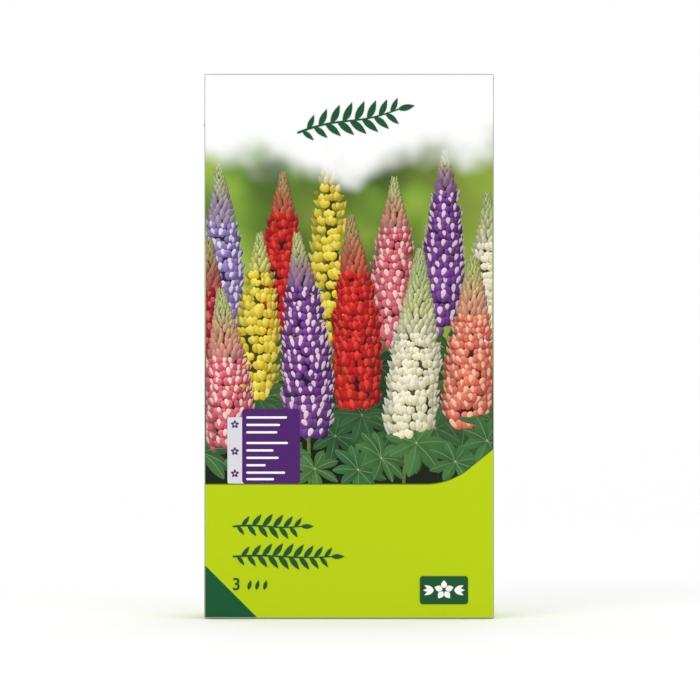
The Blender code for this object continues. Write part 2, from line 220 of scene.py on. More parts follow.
# %% [markdown]
# Most finishes here are inks and papers, so two small classes keep the node steps short. A Tone is a
# value worked out by nodes that takes + - * like a plain number, and a Finish is one material with its
# mixes, soft steps and noise. Everything reads Object coordinates in millimetres, so a pattern has its
# real size and stays put on the board.


# %% Tones
class Tone:
    """A value that nodes work out. It takes + - * ** and abs() as a plain number does."""

    def __init__(self, finish, socket):
        self.finish, self.socket = finish, socket

    def __add__(self, other):
        return self.finish.math("ADD", self, other)

    def __sub__(self, other):
        return self.finish.math("SUBTRACT", self, other)

    def __rsub__(self, other):
        return self.finish.math("SUBTRACT", other, self)

    def __mul__(self, other):
        return self.finish.math("MULTIPLY", self, other)

    def __pow__(self, other):
        return self.finish.math("POWER", self, other)

    def __abs__(self):
        return self.finish.math("ABSOLUTE", self)


print("tones ready")


# %% Finishes
class Finish:
    """One procedural material, built a step at a time. Positions are in millimetres."""

    def __init__(self, name, roughness=0.5, specular=0.15):
        self.material = plain_material(name, (0.8, 0.8, 0.8), roughness, specular)
        self.nodes = self.material.node_tree.nodes
        self.links = self.material.node_tree.links
        self.shader = self.nodes["Principled BSDF"]
        scaled = self.nodes.new("ShaderNodeVectorMath")
        scaled.operation = "SCALE"
        scaled.inputs["Scale"].default_value = 1 / MM
        self.links.new(self.nodes.new("ShaderNodeTexCoord").outputs["Object"], scaled.inputs[0])
        self.place = scaled.outputs[0]
        apart = self.nodes.new("ShaderNodeSeparateXYZ")
        self.links.new(self.place, apart.inputs[0])
        self.x, self.y, self.z = (Tone(self, socket) for socket in apart.outputs)

    def feed(self, socket, value):
        """Gives a socket a tone, another socket, a colour or a number."""
        if isinstance(value, Tone):
            value = value.socket
        if isinstance(value, bpy.types.NodeSocket):
            self.links.new(value, socket)
        elif hasattr(value, "__len__"):
            socket.default_value = (*value, 1)
        else:
            socket.default_value = value

    def math(self, operation, *values):
        node = self.nodes.new("ShaderNodeMath")
        node.operation = operation
        for socket, value in zip(node.inputs, values):
            self.feed(socket, value)
        return Tone(self, node.outputs[0])

    def least(self, first, *others):
        for other in others:
            first = self.math("MINIMUM", first, other)
        return first

    def soft_step(self, value, start, end):
        """0 below start and 1 above end, eased between. With start over end it falls instead."""
        node = self.nodes.new("ShaderNodeMapRange")
        node.interpolation_type = "SMOOTHSTEP"
        self.feed(node.inputs["Value"], value)
        node.inputs["From Min"].default_value = min(start, end)
        node.inputs["From Max"].default_value = max(start, end)
        node.inputs["To Min"].default_value = 1 if start > end else 0
        node.inputs["To Max"].default_value = 0 if start > end else 1
        return Tone(self, node.outputs[0])

    def mix(self, share, first, second, blend="MIX"):
        node = self.nodes.new("ShaderNodeMix")
        node.data_type = "RGBA"
        node.blend_type = blend
        self.feed(node.inputs["Factor"], share)
        self.feed(node.inputs[6], first)
        self.feed(node.inputs[7], second)
        return Tone(self, node.outputs[2])

    def noise(self, scale, detail=2, roughness=0.5, at=None):
        """Noise with this many lumps to a millimetre."""
        node = self.nodes.new("ShaderNodeTexNoise")
        self.links.new(at or self.place, node.inputs["Vector"])
        node.inputs["Scale"].default_value = scale
        node.inputs["Detail"].default_value = detail
        node.inputs["Roughness"].default_value = roughness
        return Tone(self, node.outputs["Fac"])

    def ramp(self, value, stops):
        node = self.nodes.new("ShaderNodeValToRGB")
        band = node.color_ramp
        while len(band.elements) < len(stops):
            band.elements.new(0.5)
        for element, (place, colour) in zip(band.elements, stops):
            element.position = place
            element.color = (*colour, 1)
        self.feed(node.inputs["Fac"], value)
        return Tone(self, node.outputs["Color"])

    def colour(self, value):
        self.feed(self.shader.inputs["Base Color"], value)

    def rough(self, value):
        self.feed(self.shader.inputs["Roughness"], value)

    def bump(self, height, depth_mm, strength):
        node = self.nodes.new("ShaderNodeBump")
        node.inputs["Strength"].default_value = strength
        node.inputs["Distance"].default_value = depth_mm * MM
        self.feed(node.inputs["Height"], height)
        self.links.new(node.outputs["Normal"], self.shader.inputs["Normal"])


print("finishes ready")

# %% [markdown]
# The front's artwork, in layers as a printer would lay them: a blurred garden, a cloud-like fade to
# bare white at the top, a lime band whose top edge sweeps up at the right, a dark corner and a thin
# grey line round the edges, which is partly keyline print and partly painted shade on the edges' bend.
# An image could be laid on the face instead, but it has pixels. Here the edges are worked out
# from the real measures, so they stay crisp however close one looks.

# %% Print colours and measures, in millimetres from the front's lower left corner
LIME = linear(184, 206, 0)
BAND_EDGE = linear(96, 130, 20)
DARK_GREEN = linear(17, 85, 48)
# The grey of the thin line round each face: partly keyline print, partly painted shade on the bend of the
# face's edges
KEYLINE_AND_EDGE_SHADE = linear(160, 164, 150)
PAPER_WHITE = (0.93, 0.935, 0.925)
WIDE_MM, DEEP_MM, TALL_MM = WIDTH / MM, DEPTH / MM, HEIGHT / MM
HALF_WIDE, HALF_DEEP = WIDE_MM / 2, DEEP_MM / 2
BAND_TOP = 57.5
BAND_BEND_AT = 95.6
BAND_BEND_RADIUS = 28.9
BAND_BEND = math.radians(39)
BAND_BEND_REACH = BAND_BEND_RADIUS * math.sin(BAND_BEND)
BAND_LINE = 0.45
BAND_CRISP = 0.12
CORNER_LEG = 23.1
# How far in from each edge the grey line fades, in mm, and how dark it gets: partly keyline print, partly
# painted edge shade
KEYLINE_AND_EDGE_SHADE_FADES = 0.55, 0.35
KEYLINE_AND_EDGE_SHADE_SHARE = 0.8
FRONT_SHORT = 0.2


def band_rise(u):
    """How far the band's top edge has risen at u, as a number."""
    along = min(max(u - BAND_BEND_AT, 0), BAND_BEND_REACH)
    arc = BAND_BEND_RADIUS - math.sqrt(BAND_BEND_RADIUS**2 - along**2)
    return arc + max(u - BAND_BEND_AT - BAND_BEND_REACH, 0) * math.tan(BAND_BEND)


def band_edge(finish, u):
    """The height of the band's top edge above v = 0, as a tone that follows band_rise."""
    past = finish.math("MAXIMUM", u - BAND_BEND_AT, 0)
    along = finish.least(past, BAND_BEND_REACH)
    arc = BAND_BEND_RADIUS - finish.math("SQRT", BAND_BEND_RADIUS**2 - along * along)
    beyond = finish.math("MAXIMUM", past - BAND_BEND_REACH, 0)
    return arc + beyond * math.tan(BAND_BEND) + BAND_TOP


def lime_band(finish, above, v, edge):
    """The lime band with its darker top line, under what is printed above it."""
    gap = v - edge
    lined = finish.mix(finish.soft_step(gap, BAND_LINE + BAND_CRISP, BAND_LINE), above, BAND_EDGE)
    return finish.mix(finish.soft_step(gap, BAND_CRISP, 0.0), lined, LIME)


def dark_corner(finish, shown, reach):
    return finish.mix(finish.soft_step(reach, CORNER_LEG + 0.1, CORNER_LEG), shown, DARK_GREEN)


def keyline_and_edge_shade(finish, shown, *from_edges):
    """A thin grey line wherever one of these distances from an edge is small: partly keyline print, partly
    painted shade where the face bends away at its edges.
    """
    line = finish.soft_step(finish.least(*from_edges), *KEYLINE_AND_EDGE_SHADE_FADES)
    return finish.mix(line * KEYLINE_AND_EDGE_SHADE_SHARE, shown, KEYLINE_AND_EDGE_SHADE)


print("band rises", round(band_rise(WIDE_MM), 1), "mm at the right edge")

# %% The garden, its fade and the whole front
GARDEN_GREENS = [
    (0.32, linear(44, 60, 24)),
    (0.44, linear(72, 96, 34)),
    (0.52, linear(104, 140, 46)),
    (0.62, linear(146, 176, 62)),
    (0.74, linear(186, 200, 104)),
]
GARDEN_SUN = linear(176, 196, 74)
GARDEN_HOLLOW = linear(50, 62, 26)
GARDEN_SHADE = linear(9, 17, 6)
HOLLOWS = (40, 168, 30), (78, 150, 26), (60, 190, 20)
SUN_FROM, SUN_FULL, SUN_SHARE = 70, 125, 0.45
SHADE_FROM, SHADE_FULL, SHADE_SHARE = 132, 84, 0.97
FADE_MIDDLE, FADE_SOFT = 193, 9
FADE_BILLOW = 40
FADE_CREST_U, FADE_BOW = 66, 0.16


def front_place(finish):
    """u to the right and v up, in millimetres from the front's lower left corner."""
    return finish.x + HALF_WIDE, finish.z


def fade_share(finish, u, v):
    """0 in the picture and 1 in the bare white above it, with a billowing edge."""
    lift = (finish.noise(0.034, 2, 0.45) - 0.5) * FADE_BILLOW
    level = v + lift - abs(u - FADE_CREST_U) * FADE_BOW
    return finish.soft_step(level, FADE_MIDDLE - FADE_SOFT, FADE_MIDDLE + FADE_SOFT)


def garden(finish, u, v):
    """Foliage and far flowers out of focus: sunny at the right, with dark hollows and a dark foot."""
    clumps = finish.noise(0.021, 1, 0.4) * 0.68 + finish.noise(0.055, 1, 0.4) * 0.32
    shown = finish.ramp(clumps, GARDEN_GREENS)
    shown = finish.mix(finish.soft_step(u, SUN_FROM, SUN_FULL) * SUN_SHARE, shown, GARDEN_SUN)
    for middle_u, middle_v, reach in HOLLOWS:
        away = finish.math("SQRT", (u - middle_u) ** 2 + ((v - middle_v) * 0.7) ** 2)
        shown = finish.mix(finish.soft_step(away, reach, 2) * 0.62, shown, GARDEN_HOLLOW)
    return finish.mix(finish.soft_step(v, SHADE_FROM, SHADE_FULL) * SHADE_SHARE, shown, GARDEN_SHADE)


def front_artwork(finish):
    u, v = front_place(finish)
    shown = finish.mix(fade_share(finish, u, v), garden(finish, u, v), PAPER_WHITE)
    shown = lime_band(finish, shown, v, band_edge(finish, u))
    shown = dark_corner(finish, shown, u + v)
    # The thin grey line round the front: partly keyline print, partly painted shade on the edges' bend
    return keyline_and_edge_shade(finish, shown, u, WIDE_MM - u, v, TALL_MM - FRONT_SHORT - v)


print("garden fades at", FADE_MIDDLE, "mm")

# %% [markdown]
# A carton's print lies on a thin coated layer of its board. Each face gets that layer as a piece of
# its own, a hair thicker than nothing, wrapped half way round the corners so that the faces meet on
# the bend. The board's own mesh stays as it is, so the print is laid over it. A box is bevelled along
# its four upright edges, its ends are deleted, and each face keeps the part of the bend that leans its
# way. The two sides are then drilled where the board has vents.

# %% Modelling helpers
SKIN_OUT = 0.04 * MM
SKIN_THICK = 0.05 * MM
FOLD_RADIUS = 0.8 * MM
FRONT_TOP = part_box("carton_body")[1].z
BACK_TOP = 234.1 * MM
SIDE_TOP = 233.2 * MM
VENT_RADIUS = 4 * MM
VENT_HEIGHTS = (60 * MM, 110 * MM, 160 * MM)


def box_at(name, low_corner, high_corner):
    """A cube primitive stretched between two corners, with its object left at the origin."""
    clean_slate()
    bpy.ops.mesh.primitive_cube_add(size=1)
    made = bpy.context.object
    made.name = name
    a, b = Vector(low_corner), Vector(high_corner)
    bpy.ops.object.mode_set(mode="EDIT")
    bpy.ops.transform.resize(value=tuple(b - a))
    bpy.ops.transform.translate(value=tuple((a + b) / 2))
    bpy.ops.object.mode_set(mode="OBJECT")
    return made


def apply(made, kind, **settings):
    """Adds a modifier with these settings and applies it."""
    bpy.context.view_layer.objects.active = made
    step = made.modifiers.new(kind.title(), kind)
    for name, value in settings.items():
        setattr(step, name, value)
    bpy.ops.object.modifier_apply(modifier=step.name)


def select_only(made, kind, chosen):
    """Leaves only the chosen edges or faces selected, ready for an edit-mode operator."""
    bpy.ops.object.mode_set(mode="EDIT")
    bpy.ops.mesh.select_mode(type=kind)
    bpy.ops.mesh.select_all(action="DESELECT")
    bpy.ops.object.mode_set(mode="OBJECT")
    for item in made.data.edges if kind == "EDGE" else made.data.polygons:
        item.select = bool(chosen(item))
    bpy.ops.object.mode_set(mode="EDIT")


def coat(made, material):
    """The piece's one material."""
    made.data.materials.clear()
    made.data.materials.append(material)


print("front reaches", round(FRONT_TOP / MM, 1), "mm")


# %% Printed layers
def sleeve_layer(name, way, top):
    """The printed layer of the face that looks way, with its half of the bend at each corner."""
    way, aside = Vector(way), Vector((way[1], way[0], 0))
    made = box_at(
        name,
        (low.x - SKIN_OUT, low.y - SKIN_OUT, 0.05 * MM),
        (high.x + SKIN_OUT, high.y + SKIN_OUT, top),
    )

    def upright(edge):
        a, b = (made.data.vertices[k].co for k in edge.vertices)
        return abs(a.z - b.z) > top / 2

    def left_out(face):
        return abs(face.normal.z) > 0.5 or face.normal.dot(way) <= abs(face.normal.dot(aside))

    select_only(made, "EDGE", upright)
    bpy.ops.mesh.bevel(offset=FOLD_RADIUS, segments=6, affect="EDGES")
    select_only(made, "FACE", left_out)
    bpy.ops.mesh.delete(type="FACE")
    bpy.ops.object.mode_set(mode="OBJECT")
    apply(made, "SOLIDIFY", thickness=SKIN_THICK, offset=-1)
    return made


def cut_vents(made, side):
    for height in VENT_HEIGHTS:
        clean_slate()
        bpy.ops.mesh.primitive_cylinder_add(
            vertices=48, radius=VENT_RADIUS, depth=4 * MM,
            location=(side * WIDTH / 2, 0, height), rotation=(0, math.radians(90), 0),
        )
        drill = bpy.context.object
        apply(made, "BOOLEAN", operation="DIFFERENCE", object=drill, solver="EXACT")
        bpy.data.objects.remove(drill, do_unlink=True)


front_print = sleeve_layer("front_print", (0, -1, 0), FRONT_TOP)
back_print = sleeve_layer("back_print", (0, 1, 0), BACK_TOP)
left_print = sleeve_layer("left_print", (-1, 0, 0), SIDE_TOP)
right_print = sleeve_layer("right_print", (1, 0, 0), SIDE_TOP)
cut_vents(left_print, -1)
cut_vents(right_print, 1)
for layer in (front_print, back_print, left_print, right_print):
    clean_slate()
    layer.select_set(True)
    bpy.context.view_layer.objects.active = layer
    bpy.ops.object.shade_smooth_by_angle(angle=math.radians(40))
    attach(layer, "carton")
    print(layer.name, len(layer.data.polygons), "faces")

# %% [markdown]
# The front takes the artwork. A coated board is smooth but not glassy. One even roughness would look
# like plastic, so it wanders a little and a very fine ripple breaks up the highlights.

# %% Front finish
COAT_ROUGH, COAT_WANDER = 0.34, 0.12
RIPPLE_MM, RIPPLE_STRENGTH = 0.012, 0.35


def coated(finish):
    """The sheen of coated board: slightly uneven, with the faint ripple of pressed fibre."""
    finish.rough(finish.noise(0.4, 3) * COAT_WANDER + COAT_ROUGH)
    finish.bump(finish.noise(2.2, 3, 0.6), RIPPLE_MM, RIPPLE_STRENGTH)
    return finish.material


front_finish = Finish("printed_front")
front_finish.colour(front_artwork(front_finish))
coat(front_print, coated(front_finish))
print("front finish", len(front_finish.nodes), "nodes")

# %% [markdown]
# The pictured flower bed could be drawn with nodes, but petals overlap in depth, and that is what
# makes a bloom read as a bloom. So the bed is modelled as real shapes: one petal lobe, one upright
# standard petal, one bud and one leaflet, each made once with operators. Hundreds of copies are set
# round each stem, shaded as the sun would, and then the whole bed is pressed almost flat, like a
# picture in relief a fifth of a millimetre deep. Each spire is a piece, and each vertex carries its
# ink colour.


# %% Shapes made once
def shape_of(made):
    """(points, triangles, normals) of a finished shape in its own axes, and the object removed."""
    mesh = made.data
    mesh.calc_loop_triangles()
    points = np.array([v.co for v in mesh.vertices])
    normals = np.array([v.normal for v in mesh.vertices])
    triangles = np.array([t.vertices for t in mesh.loop_triangles])
    bpy.data.objects.remove(made, do_unlink=True)
    return points, triangles, normals


def move_points(made, rule):
    """Moves each vertex to where rule says; rule takes and gives a Vector."""
    for vertex in made.data.vertices:
        vertex.co = rule(vertex.co.copy())
    made.data.update()


def ball(segments, rings, rule):
    """A petal or bud: a ball primitive one unit across, whose points move by rule."""
    clean_slate()
    bpy.ops.mesh.primitive_uv_sphere_add(segments=segments, ring_count=rings, radius=0.5)
    made = bpy.context.object
    move_points(made, rule)
    return shape_of(made)


def blade(across, along, rule):
    """A leaf or scale: a grid primitive whose points move by rule(side from -1 to 1, share of the way)."""
    clean_slate()
    bpy.ops.mesh.primitive_grid_add(x_subdivisions=across, y_subdivisions=along, size=1)
    made = bpy.context.object
    move_points(made, lambda p: Vector(rule(p.x * 2, p.y + 0.5)))
    return made


def leaflet_rule(side, along):
    """Folded along its rib, and widest past the middle."""
    half = 0.165 * math.sin(math.pi * min(along, 0.999) ** 1.25) ** 0.75 + 0.010
    return side * half, -0.10 * math.sin(math.pi * along) + 0.05 * abs(side), along


# Both petals widen and lean forward to their tips, the upright one most, and a bud narrows to a point
LOBE = ball(10, 7, lambda p: Vector((p.x * (0.92 + 0.26 * p.z), p.y * 0.8 - 0.16 * p.z, p.z)))
STANDARD = ball(8, 6, lambda p: Vector((p.x * (0.80 + 0.45 * p.z), p.y * 0.5 - 0.35 * p.z, p.z)))
BUD = ball(7, 6, lambda p: Vector((p.x * (0.84 - 0.42 * p.z), p.y * (0.84 - 0.42 * p.z), p.z * 1.2)))
LEAFLET = shape_of(blade(4, 9, leaflet_rule))
print("points in each shape", [len(s[0]) for s in (LOBE, STANDARD, BUD, LEAFLET)])

# %% [markdown]
# The picture's own light comes from the upper left in front. Each copy is turned, scaled and placed,
# shaded by how far it faces that light, and coloured by a rule that knows the height along the petal.
# What faces away from the viewer is left out, and the rest becomes one mesh for each piece.

# %% Placing, shading and pressing
SUN = np.array((-0.42, -0.62, 0.66)) / np.linalg.norm((-0.42, -0.62, 0.66))
PRESS = 0.0022
RELIEF = 0.16
BED_MARGIN = 0.75
SLIVER = 1e-5


def turn(axis, degrees):
    """A turning matrix about one axis."""
    angle = math.radians(degrees)
    c, s = math.cos(angle), math.sin(angle)
    return {
        "x": np.array(((1, 0, 0), (0, c, -s), (0, s, c))),
        "y": np.array(((c, 0, s), (0, 1, 0), (-s, 0, c))),
        "z": np.array(((c, -s, 0), (s, c, 0), (0, 0, 1))),
    }[axis]


def towards_viewer(points, triangles):
    """The y part of each triangle's normal, below 0 where it faces the viewer."""
    corners = points[triangles]
    return np.cross(corners[:, 1] - corners[:, 0], corners[:, 2] - corners[:, 0])[:, 1]


def new_piece(name, mesh, material):
    """An object at the origin with this mesh and material."""
    made = bpy.data.objects.new(name, mesh)
    bpy.context.scene.collection.objects.link(made)
    mesh.materials.append(material)
    return made


class Bed:
    """Collects placed shapes and turns them into one pressed piece."""

    def __init__(self):
        self.points, self.triangles, self.colours = [], [], []
        self.count = 0

    def add(self, shape, size, turned, place, paint, glow=0.12):
        """size is (x, y, z) in mm; paint(t, light) has t from 0 at the foot to 1 at the tip."""
        points, triangles, normals = shape
        size = np.array(size, float)
        moved = (points * size) @ turned.T + np.array(place)
        facing = (normals / size) @ turned.T
        facing /= np.linalg.norm(facing, axis=1, keepdims=True) + 1e-9
        light = np.clip(facing @ SUN, -1, 1) * 0.5 + 0.5
        light = glow + (1 - glow) * light**1.5
        tip = (points[:, 2] - points[:, 2].min()) / np.ptp(points[:, 2])
        shades = np.array([paint(t, s) for t, s in zip(tip, light)])
        seen = triangles[towards_viewer(moved, triangles) < 0]
        used = np.unique(seen)
        renumber = np.full(len(points), -1)
        renumber[used] = np.arange(len(used))
        self.points.append(moved[used])
        self.colours.append(shades[used])
        self.triangles.append(renumber[seen] + self.count)
        self.count += len(used)

    def piece(self, name, finish):
        """One mesh object, pressed onto the front and trimmed to the picture's edges."""
        points = np.concatenate(self.points)
        triangles = np.concatenate(self.triangles)
        colours = np.concatenate(self.colours)
        half = HALF_WIDE - BED_MARGIN
        points[:, 0] = np.clip(points[:, 0], -half, half)
        floor = [BAND_TOP + BAND_LINE * 0.6 + band_rise(x + HALF_WIDE) for x in points[:, 0]]
        points[:, 2] = np.maximum(points[:, 2], np.array(floor))
        triangles = triangles[np.abs(towards_viewer(points, triangles)) > SLIVER]
        pressed = points * MM
        pressed[:, 1] = FRONT_Y - (RELIEF - points[:, 1] * PRESS) * MM
        mesh = bpy.data.meshes.new(name)
        mesh.vertices.add(len(pressed))
        mesh.vertices.foreach_set("co", pressed.astype(np.float32).ravel())
        mesh.loops.add(triangles.size)
        mesh.loops.foreach_set("vertex_index", triangles.astype(np.int32).ravel())
        mesh.polygons.add(len(triangles))
        mesh.polygons.foreach_set("loop_start", np.arange(0, triangles.size, 3, dtype=np.int32))
        mesh.polygons.foreach_set("loop_total", np.full(len(triangles), 3, np.int32))
        mesh.update(calc_edges=True)
        ink_values = np.c_[colours, np.ones(len(colours))].astype(np.float32)
        mesh.color_attributes.new("ink", "FLOAT_COLOR", "POINT").data.foreach_set("color", ink_values.ravel())
        made = new_piece(name, mesh, finish.material)
        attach(made, "carton")
        return made


def bed_finish(name):
    """Ink from the vertices, fading to bare white at the top with the same clouds as the garden."""
    finish = Finish(name)
    ink_node = finish.nodes.new("ShaderNodeAttribute")
    ink_node.attribute_name = "ink"
    grain = finish.mix(finish.noise(1.1, 2) * 0.16 + 0.92, (0, 0, 0), (1, 1, 1))
    toned = finish.mix(1.0, ink_node.outputs["Color"], grain, "MULTIPLY")
    finish.colour(finish.mix(fade_share(finish, *front_place(finish)), toned, PAPER_WHITE))
    coated(finish)
    return finish


ink_finish = bed_finish("printed_flowers")
print("sun from", np.round(SUN, 2))

# %% [markdown]
# Colours of the blooms. A lupin opens from the bottom up, so one colour for a whole spire would look
# made of plastic. Each kind has a shaded and a lit petal colour, the same two for the upright petal, a
# colour for opening buds and one for the closed tip, and a spire changes as it climbs.

# %% Bloom colours
BLOOMS = {
    "rose": (
        (176, 22, 62), (250, 124, 142), (246, 182, 168), (255, 230, 210), (240, 142, 112), (190, 200, 116),
    ),
    "scarlet": (
        (140, 4, 12), (232, 38, 34), (206, 24, 24), (250, 84, 62), (214, 62, 38), (176, 136, 70),
    ),
    "coral": (
        (206, 62, 52), (252, 142, 118), (250, 170, 134), (255, 216, 178), (246, 158, 116), (196, 200, 112),
    ),
    "violet": (
        (62, 14, 98), (138, 70, 170), (214, 176, 200), (250, 230, 232), (152, 98, 152), (196, 206, 118),
    ),
    "lilac": (
        (92, 66, 150), (172, 148, 214), (216, 200, 228), (246, 240, 250), (170, 140, 198), (194, 208, 128),
    ),
    "lemon": (
        (200, 158, 10), (255, 238, 76), (244, 208, 34), (255, 248, 134), (240, 226, 100), (196, 210, 112),
    ),
    "cream": (
        (206, 194, 132), (254, 250, 222), (242, 236, 190), (255, 255, 244), (226, 228, 150), (172, 200, 118),
    ),
    "wine": (
        (104, 6, 26), (196, 34, 58), (182, 42, 60), (232, 112, 112), (176, 60, 56), (168, 150, 88),
    ),
}
BUD_TURNS, BUD_GREENS = 0.30, 0.42


def painter(dark, lit, dim=1.0):
    """A paint rule between a shaded and a lit colour."""
    dark, lit = np.array(linear(*dark)), np.array(linear(*lit))

    def paint(tip, light):
        share = min(max(light * 1.12 - 0.12, 0), 1)
        return (dark + (lit - dark) * share) * (0.55 + 0.45 * light) * dim

    return paint


def blend_inks(first, second, share):
    return tuple(a + (b - a) * share for a, b in zip(first, second))


def bud_inks(inks, closed):
    """From petal colour through the opening colour to the closed tip's green."""
    if closed < BUD_TURNS:
        return blend_inks(inks[1], inks[4], closed / BUD_TURNS)
    return blend_inks(inks[4], inks[5], min((closed - BUD_TURNS) / BUD_GREENS, 1))


print("blooms", ", ".join(BLOOMS))

# %% [markdown]
# A spire stands on a stem. Whorls of florets circle it, large and open at the bottom and smaller as
# they climb; then come opening buds, and at the top tight green ones. One whorl could be copied up the
# stem, but it would look stamped, so a seeded draw gives each floret its own turn, size and shade. Only
# the half that faces the viewer is placed.

# %% Florets and whorls
FLORET = 5.1
FLORET_SEEN, BUD_SEEN = 106, 100
FOOT_GIRTH, WIDEST_FROM, TAPER_FROM, TIP_GIRTH = 0.80, 0.1, 0.42, 0.10
BUD_SHADE, BUD_SHINE = (34, 44, 10), (255, 252, 214)


def spire_girth(t):
    """The spire's radius along its height, as a share of its widest."""
    if t < WIDEST_FROM:
        return FOOT_GIRTH + 2.0 * t
    if t < TAPER_FROM:
        return 1.0
    return max(1.0 - ((t - TAPER_FROM) / 0.60) ** 1.15 * 0.90, TIP_GIRTH)


def whorl(draw, count, level, jitter, seen):
    """The angles round the stem that the viewer sees, with every other whorl half a place on."""
    for k in range(count):
        around = -180 + 360 * (k + 0.5 * (level % 2)) / count + draw.uniform(-jitter, jitter)
        if abs(around) <= seen:
            yield around


def out_of_stem(around, reach):
    return turn("z", around) @ np.array((0, -reach, 0))


def floret(bed, draw, centre, around, size, inks, dim):
    """Two rounded side petals and an upright one between them, facing out from the stem."""
    dark, lit, pale_dark, pale_lit = inks[:4]
    facing = math.cos(math.radians(around))
    shade = dim * (0.46 + 0.54 * facing) * draw.uniform(0.84, 1.12)
    lit = blend_inks(lit, pale_dark, draw.uniform(0, 0.22))
    swing = turn("z", around) @ turn("x", draw.uniform(2, 24)) @ turn("y", draw.uniform(-16, 16))
    petal = painter(dark, lit, shade)
    for side in (-1, 1):
        lean = swing @ turn("y", side * draw.uniform(12, 32))
        place = centre + swing @ np.array((side * 0.27, -0.22 + draw.uniform(-0.08, 0.08), 0)) * size
        bed.add(LOBE, (size * 0.72, size * 0.68, size * draw.uniform(0.86, 1.04)), lean, place, petal)
    upright = painter(pale_dark, pale_lit, 0.30 * shade + 0.66 * dim * (0.55 + 0.45 * facing))
    place = centre + swing @ np.array((draw.uniform(-0.1, 0.1), -0.46, 0.26)) * size
    lean = swing @ turn("y", draw.uniform(-20, 20))
    bed.add(STANDARD, (size * 0.52, size * 0.4, size * draw.uniform(0.66, 0.86)), lean, place, upright, 0.45)


def closed_bud(bed, draw, foot, girth, around, size, closed, ink_now, dim):
    """One bud that leans out from the stem, less and less as the tip closes."""
    facing = math.cos(math.radians(around))
    out = out_of_stem(around, girth * draw.uniform(0.94, 1.06))
    splay = turn("x", 30 - 16 * closed) @ turn("y", draw.uniform(-14, 14))
    shade = dim * (0.55 + 0.45 * facing) * draw.uniform(0.84, 1.12)
    paint = painter(blend_inks(ink_now, BUD_SHADE, 0.60), blend_inks(ink_now, BUD_SHINE, 0.30), shade)
    place = foot + out + np.array((0, 0, draw.uniform(-0.3, 0.3)))
    bed.add(BUD, (size * 0.66, size * 0.66, size * 0.92), turn("z", around) @ splay, place, paint)


print("florets of", FLORET, "mm")

# %% Spires
CORE_STEPS = 30
LOOSE_FROM = 1.1


def spire(name, foot_u, foot_v, height, width, lean, inks, depth, seed, dim, open_to, loose):
    """loose above 1 spaces the florets out, so that the stem shows between them."""
    draw = random.Random(seed)
    bed = Bed()
    radius = width / 2 - FLORET * 0.42

    def axis(t):
        bow = 0.012 * height * math.sin(math.pi * t)
        return np.array((foot_u - HALF_WIDE + lean * t + bow, depth, foot_v + height * t))

    core_dark, core_lit = blend_inks(inks[0], (12, 22, 6), 0.80), blend_inks(inks[0], (30, 44, 16), 0.62)
    core = painter(core_dark, core_lit, dim * 0.62)
    stalk = painter((30, 48, 14), (112, 136, 60), dim)
    fill = 0.84 if loose < LOOSE_FROM else 0.5
    for k in range(CORE_STEPS):
        t = -0.24 + k / (CORE_STEPS - 1) * 1.20
        if t < 0.01:
            bed.add(LOBE, (1.9, 1.9, height * 0.075), turn("x", 0), axis(t), stalk, 0.3)
            continue
        girth = radius * fill * spire_girth(t)
        behind = axis(t) + np.array((0, 1.5, 0))
        bed.add(LOBE, (2 * girth, 2 * girth * 0.8, height * 0.07), turn("x", 0), behind, core, 0.3)

    z, level = 0.0, 0
    while z < height:
        t = z / height
        girth = radius * spire_girth(t)
        if t < open_to:
            size = FLORET * (1.0 - 0.24 * t / open_to)
            step = size * 0.72 * loose
            count = max(int(round(2 * math.pi * girth / (size * 0.86 * loose))), 5)
            for around in whorl(draw, count, level, 9, FLORET_SEEN):
                if level < 1 and draw.random() < 0.25:
                    continue
                out = out_of_stem(around, girth * draw.uniform(0.9, 1.06))
                centre = axis(t) + out + np.array((0, 0, draw.uniform(-0.8, 0.8)))
                floret(bed, draw, centre, around, size * draw.uniform(0.86, 1.12), inks, dim)
        else:
            closed = (t - open_to) / (1 - open_to)
            size = 3.8 * (1 - closed) + 1.6
            step = size * 0.52
            count = max(int(round(2 * math.pi * girth / (size * 0.62))), 5)
            for around in whorl(draw, count, level, 8, BUD_SEEN):
                closed_bud(bed, draw, axis(t), girth, around, size, closed, bud_inks(inks, closed), dim)
        z += step
        level += 1
    return bed.piece(name, ink_finish)


# The bed's plan: name, foot (u, v), height, width, lean, bloom, depth behind the front row, haze,
# share of the height that is open, looseness
SPIRES = [
    ("spire_back_1", 8, 120, 76, 18, -2, "lilac", 34, 0.92, 0.66, 1.0),
    ("spire_back_2", 31, 124, 68, 18, 3, "scarlet", 30, 0.90, 0.72, 1.0),
    ("spire_back_3", 55, 122, 80, 19, -2, "lemon", 32, 0.94, 0.80, 1.22),
    ("spire_back_4", 80, 118, 72, 19, 2, "rose", 30, 0.90, 0.70, 1.0),
    ("spire_back_5", 101, 124, 78, 18, 3, "violet", 33, 0.92, 0.78, 1.0),
    ("spire_back_6", 122, 108, 76, 18, 0, "cream", 31, 0.92, 0.70, 1.0),
    ("spire_mid_1", -2, 88, 76, 20, 4, "wine", 16, 0.95, 0.70, 1.0),
    ("spire_mid_2", 21, 92, 74, 19, 3, "lemon", 15, 0.98, 0.76, 1.15),
    ("spire_mid_3", 66, 92, 82, 20, -3, "scarlet", 14, 0.97, 0.68, 1.0),
    ("spire_mid_4", 113, 84, 72, 21, 3, "coral", 15, 0.97, 0.64, 1.0),
    ("spire_front_1", 45, 80, 86, 21, -5, "violet", 0, 1.0, 0.72, 1.0),
    ("spire_front_2", 88, 79, 80, 22, 5, "cream", -2, 1.0, 0.54, 1.0),
    ("spire_front_3", 11, 72, 70, 21, -4, "rose", -4, 1.0, 0.56, 1.0),
]
SPIRE_SEED = 300
spire_triangles = 0
